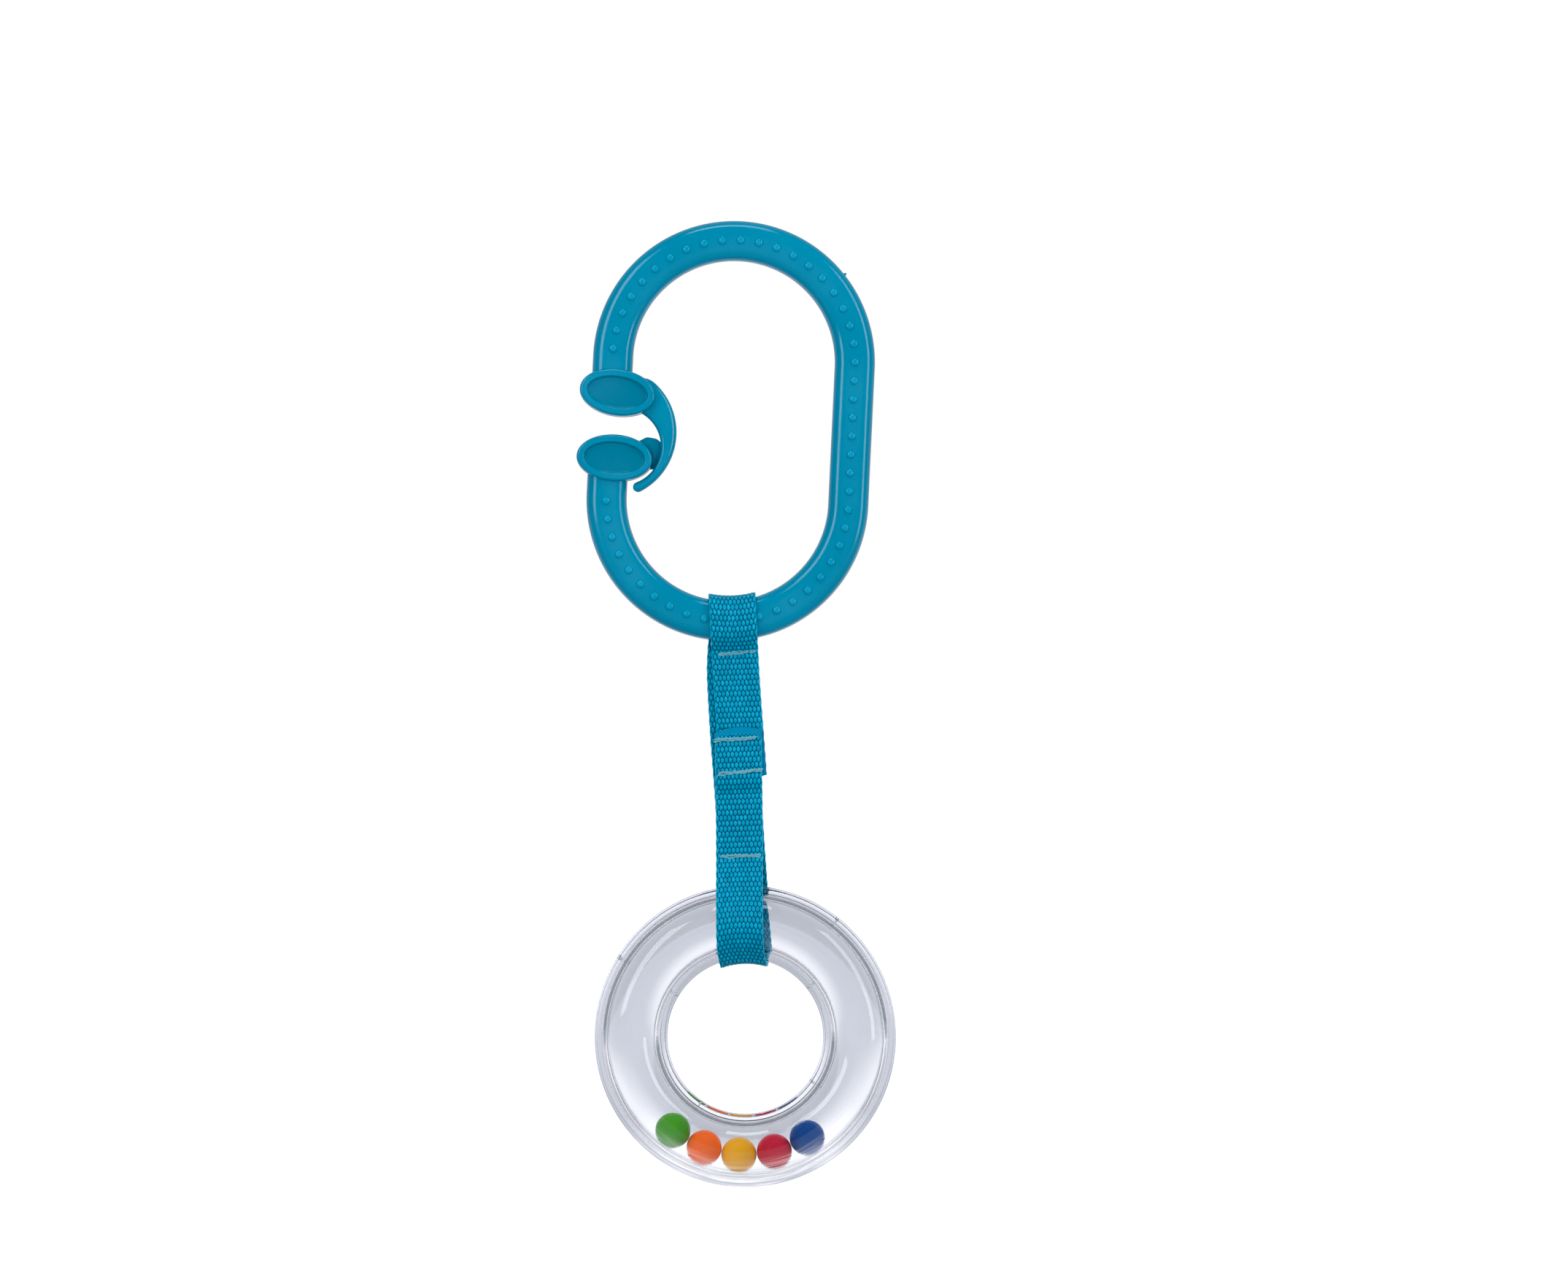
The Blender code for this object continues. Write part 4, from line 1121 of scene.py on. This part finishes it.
def make_stage():
    """A pale floor that dims with distance, in a room lighter behind the object than before it."""
    room_grey = (0.575, 0.592, 0.648, 1.0)
    room_dark = (0.22, 0.23, 0.27, 1.0)
    white = (1.0, 1.0, 1.0, 1.0)
    material, tree, shader = new_material("pale_floor", roughness=0.8, base_color=(0.3, 0.3, 0.3, 1.0))
    shader.inputs["Specular IOR Level"].default_value = 0.0
    place = add_node(tree, "TexCoord").outputs["Object"]
    away = add_node(tree, "SeparateXYZ", vector=place).outputs["Y"]
    near = mix_colour(tree, spread(tree, away, 0.0, 1.0, 0.0, 0.3), room_dark, (0.90, 0.90, 0.94, 1.0))
    glow_colour = mix_colour(tree, spread(tree, away, 0.0, 1.0, 0.45, 1.10), near, room_grey)
    seen = add_node(tree, "LightPath").outputs["Is Camera Ray"]
    tree.links.new(mix_colour(tree, seen, glow_colour, white), shader.inputs["Emission Color"])
    shader.inputs["Emission Strength"].default_value = 1.0
    size = 4.0
    floor_level = cad_box[0][2] - 0.06
    corners = [(-size, -size, floor_level), (size, -size, floor_level), (size, size, floor_level),
               (-size, size, floor_level)]
    floor = mesh_piece("pale_floor", corners, [(0, 1, 2, 3)], material, smooth=False)

    world = bpy.data.worlds.new("studio")
    bpy.context.scene.world = world
    world.use_nodes = True
    tree = world.node_tree
    room = tree.nodes["Background"]
    direction = add_node(tree, "TexCoord").outputs["Generated"]
    toward = add_node(tree, "SeparateXYZ", vector=direction).outputs["Y"]
    walls = mix_colour(tree, spread(tree, toward, 0.0, 1.0, -0.3, 0.4), room_dark, room_grey)
    seen = add_node(tree, "LightPath").outputs["Is Camera Ray"]
    tree.links.new(mix_colour(tree, seen, walls, white), room.inputs["Color"])


def make_lights():
    middle = Vector(((cad_box[0][0] + cad_box[1][0]) / 2, 0.0, (cad_box[0][2] + cad_box[1][2]) / 2))
    lamps = (
        ("key_left", (-0.55, -0.65, 0.35), 0.28, 0.75, 3.5, True),
        ("box_right", (0.62, -0.45, 0.15), 0.20, 0.90, 3.0, True),
        ("top_light", (0.0, -0.3, 0.75), 0.40, 0.20, 1.6, True),
        ("front_fill", (0.1, -1.1, -0.05), 0.90, 0.90, 7.0, False),
    )
    for name, offset, width, height, power, mirrored in lamps:
        lamp = make_softbox(name, middle + Vector(offset), middle, width, height, power)
        lamp.visible_glossy = mirrored
        lamp.visible_transmission = False


def make_camera():
    """Looks along +Y from the height of the strap, rolled a little, with a long lens."""
    roll = math.radians(1.91)
    distance = 1.15
    frame_width = 338.5 * MM
    aim = LINK_PIVOT + Vector((11.24 * MM, 0.0, -29.21 * MM))
    data = bpy.data.cameras.new("camera")
    data.sensor_width = 36.0
    data.lens = data.sensor_width * distance / frame_width
    data.clip_start = 0.01
    camera = bpy.data.objects.new("camera", data)
    bpy.context.scene.collection.objects.link(camera)
    turn = Matrix.Rotation(roll, 4, "Y") @ Matrix.Rotation(math.pi / 2, 4, "X")
    camera.matrix_world = Matrix.Translation(aim - Vector((0.0, distance, 0.0))) @ turn
    bpy.context.scene.camera = camera
    view = bpy.context.scene.view_settings
    view.view_transform = "Standard"
    view.use_curve_mapping = True
    view.curve_mapping.black_level = (0.013, 0.007, 0.006)
    view.curve_mapping.update()


# ---- Assembly ---------------------------------------------------------------------------


def build():
    teal = moulded_plastic("teal_plastic", (0.0, 0.20, 0.325), 0.15, drift=0.05, wear=0.08)
    make_link(teal)
    make_hook(teal)
    make_strap(make_webbing())
    make_stitching(make_thread())
    clear = make_clear_plastic()
    make_ring_half("ring_front_half", -1, "ring_front_shell", clear)
    make_ring_half("ring_back_half", 1, "ring_back_shell", clear)
    for name, colour in (
        ("green", (0.045, 0.26, 0.0)),
        ("orange", (0.82, 0.115, 0.0)),
        ("yellow", (0.74, 0.34, 0.0)),
        ("red", (0.50, 0.004, 0.025)),
        ("blue", (0.003, 0.045, 0.21)),
    ):
        make_bead(name, moulded_plastic(name + "_plastic", colour, 0.12, drift=0.10, wear=0.5))
    make_stage()
    make_lights()
    make_camera()


build()
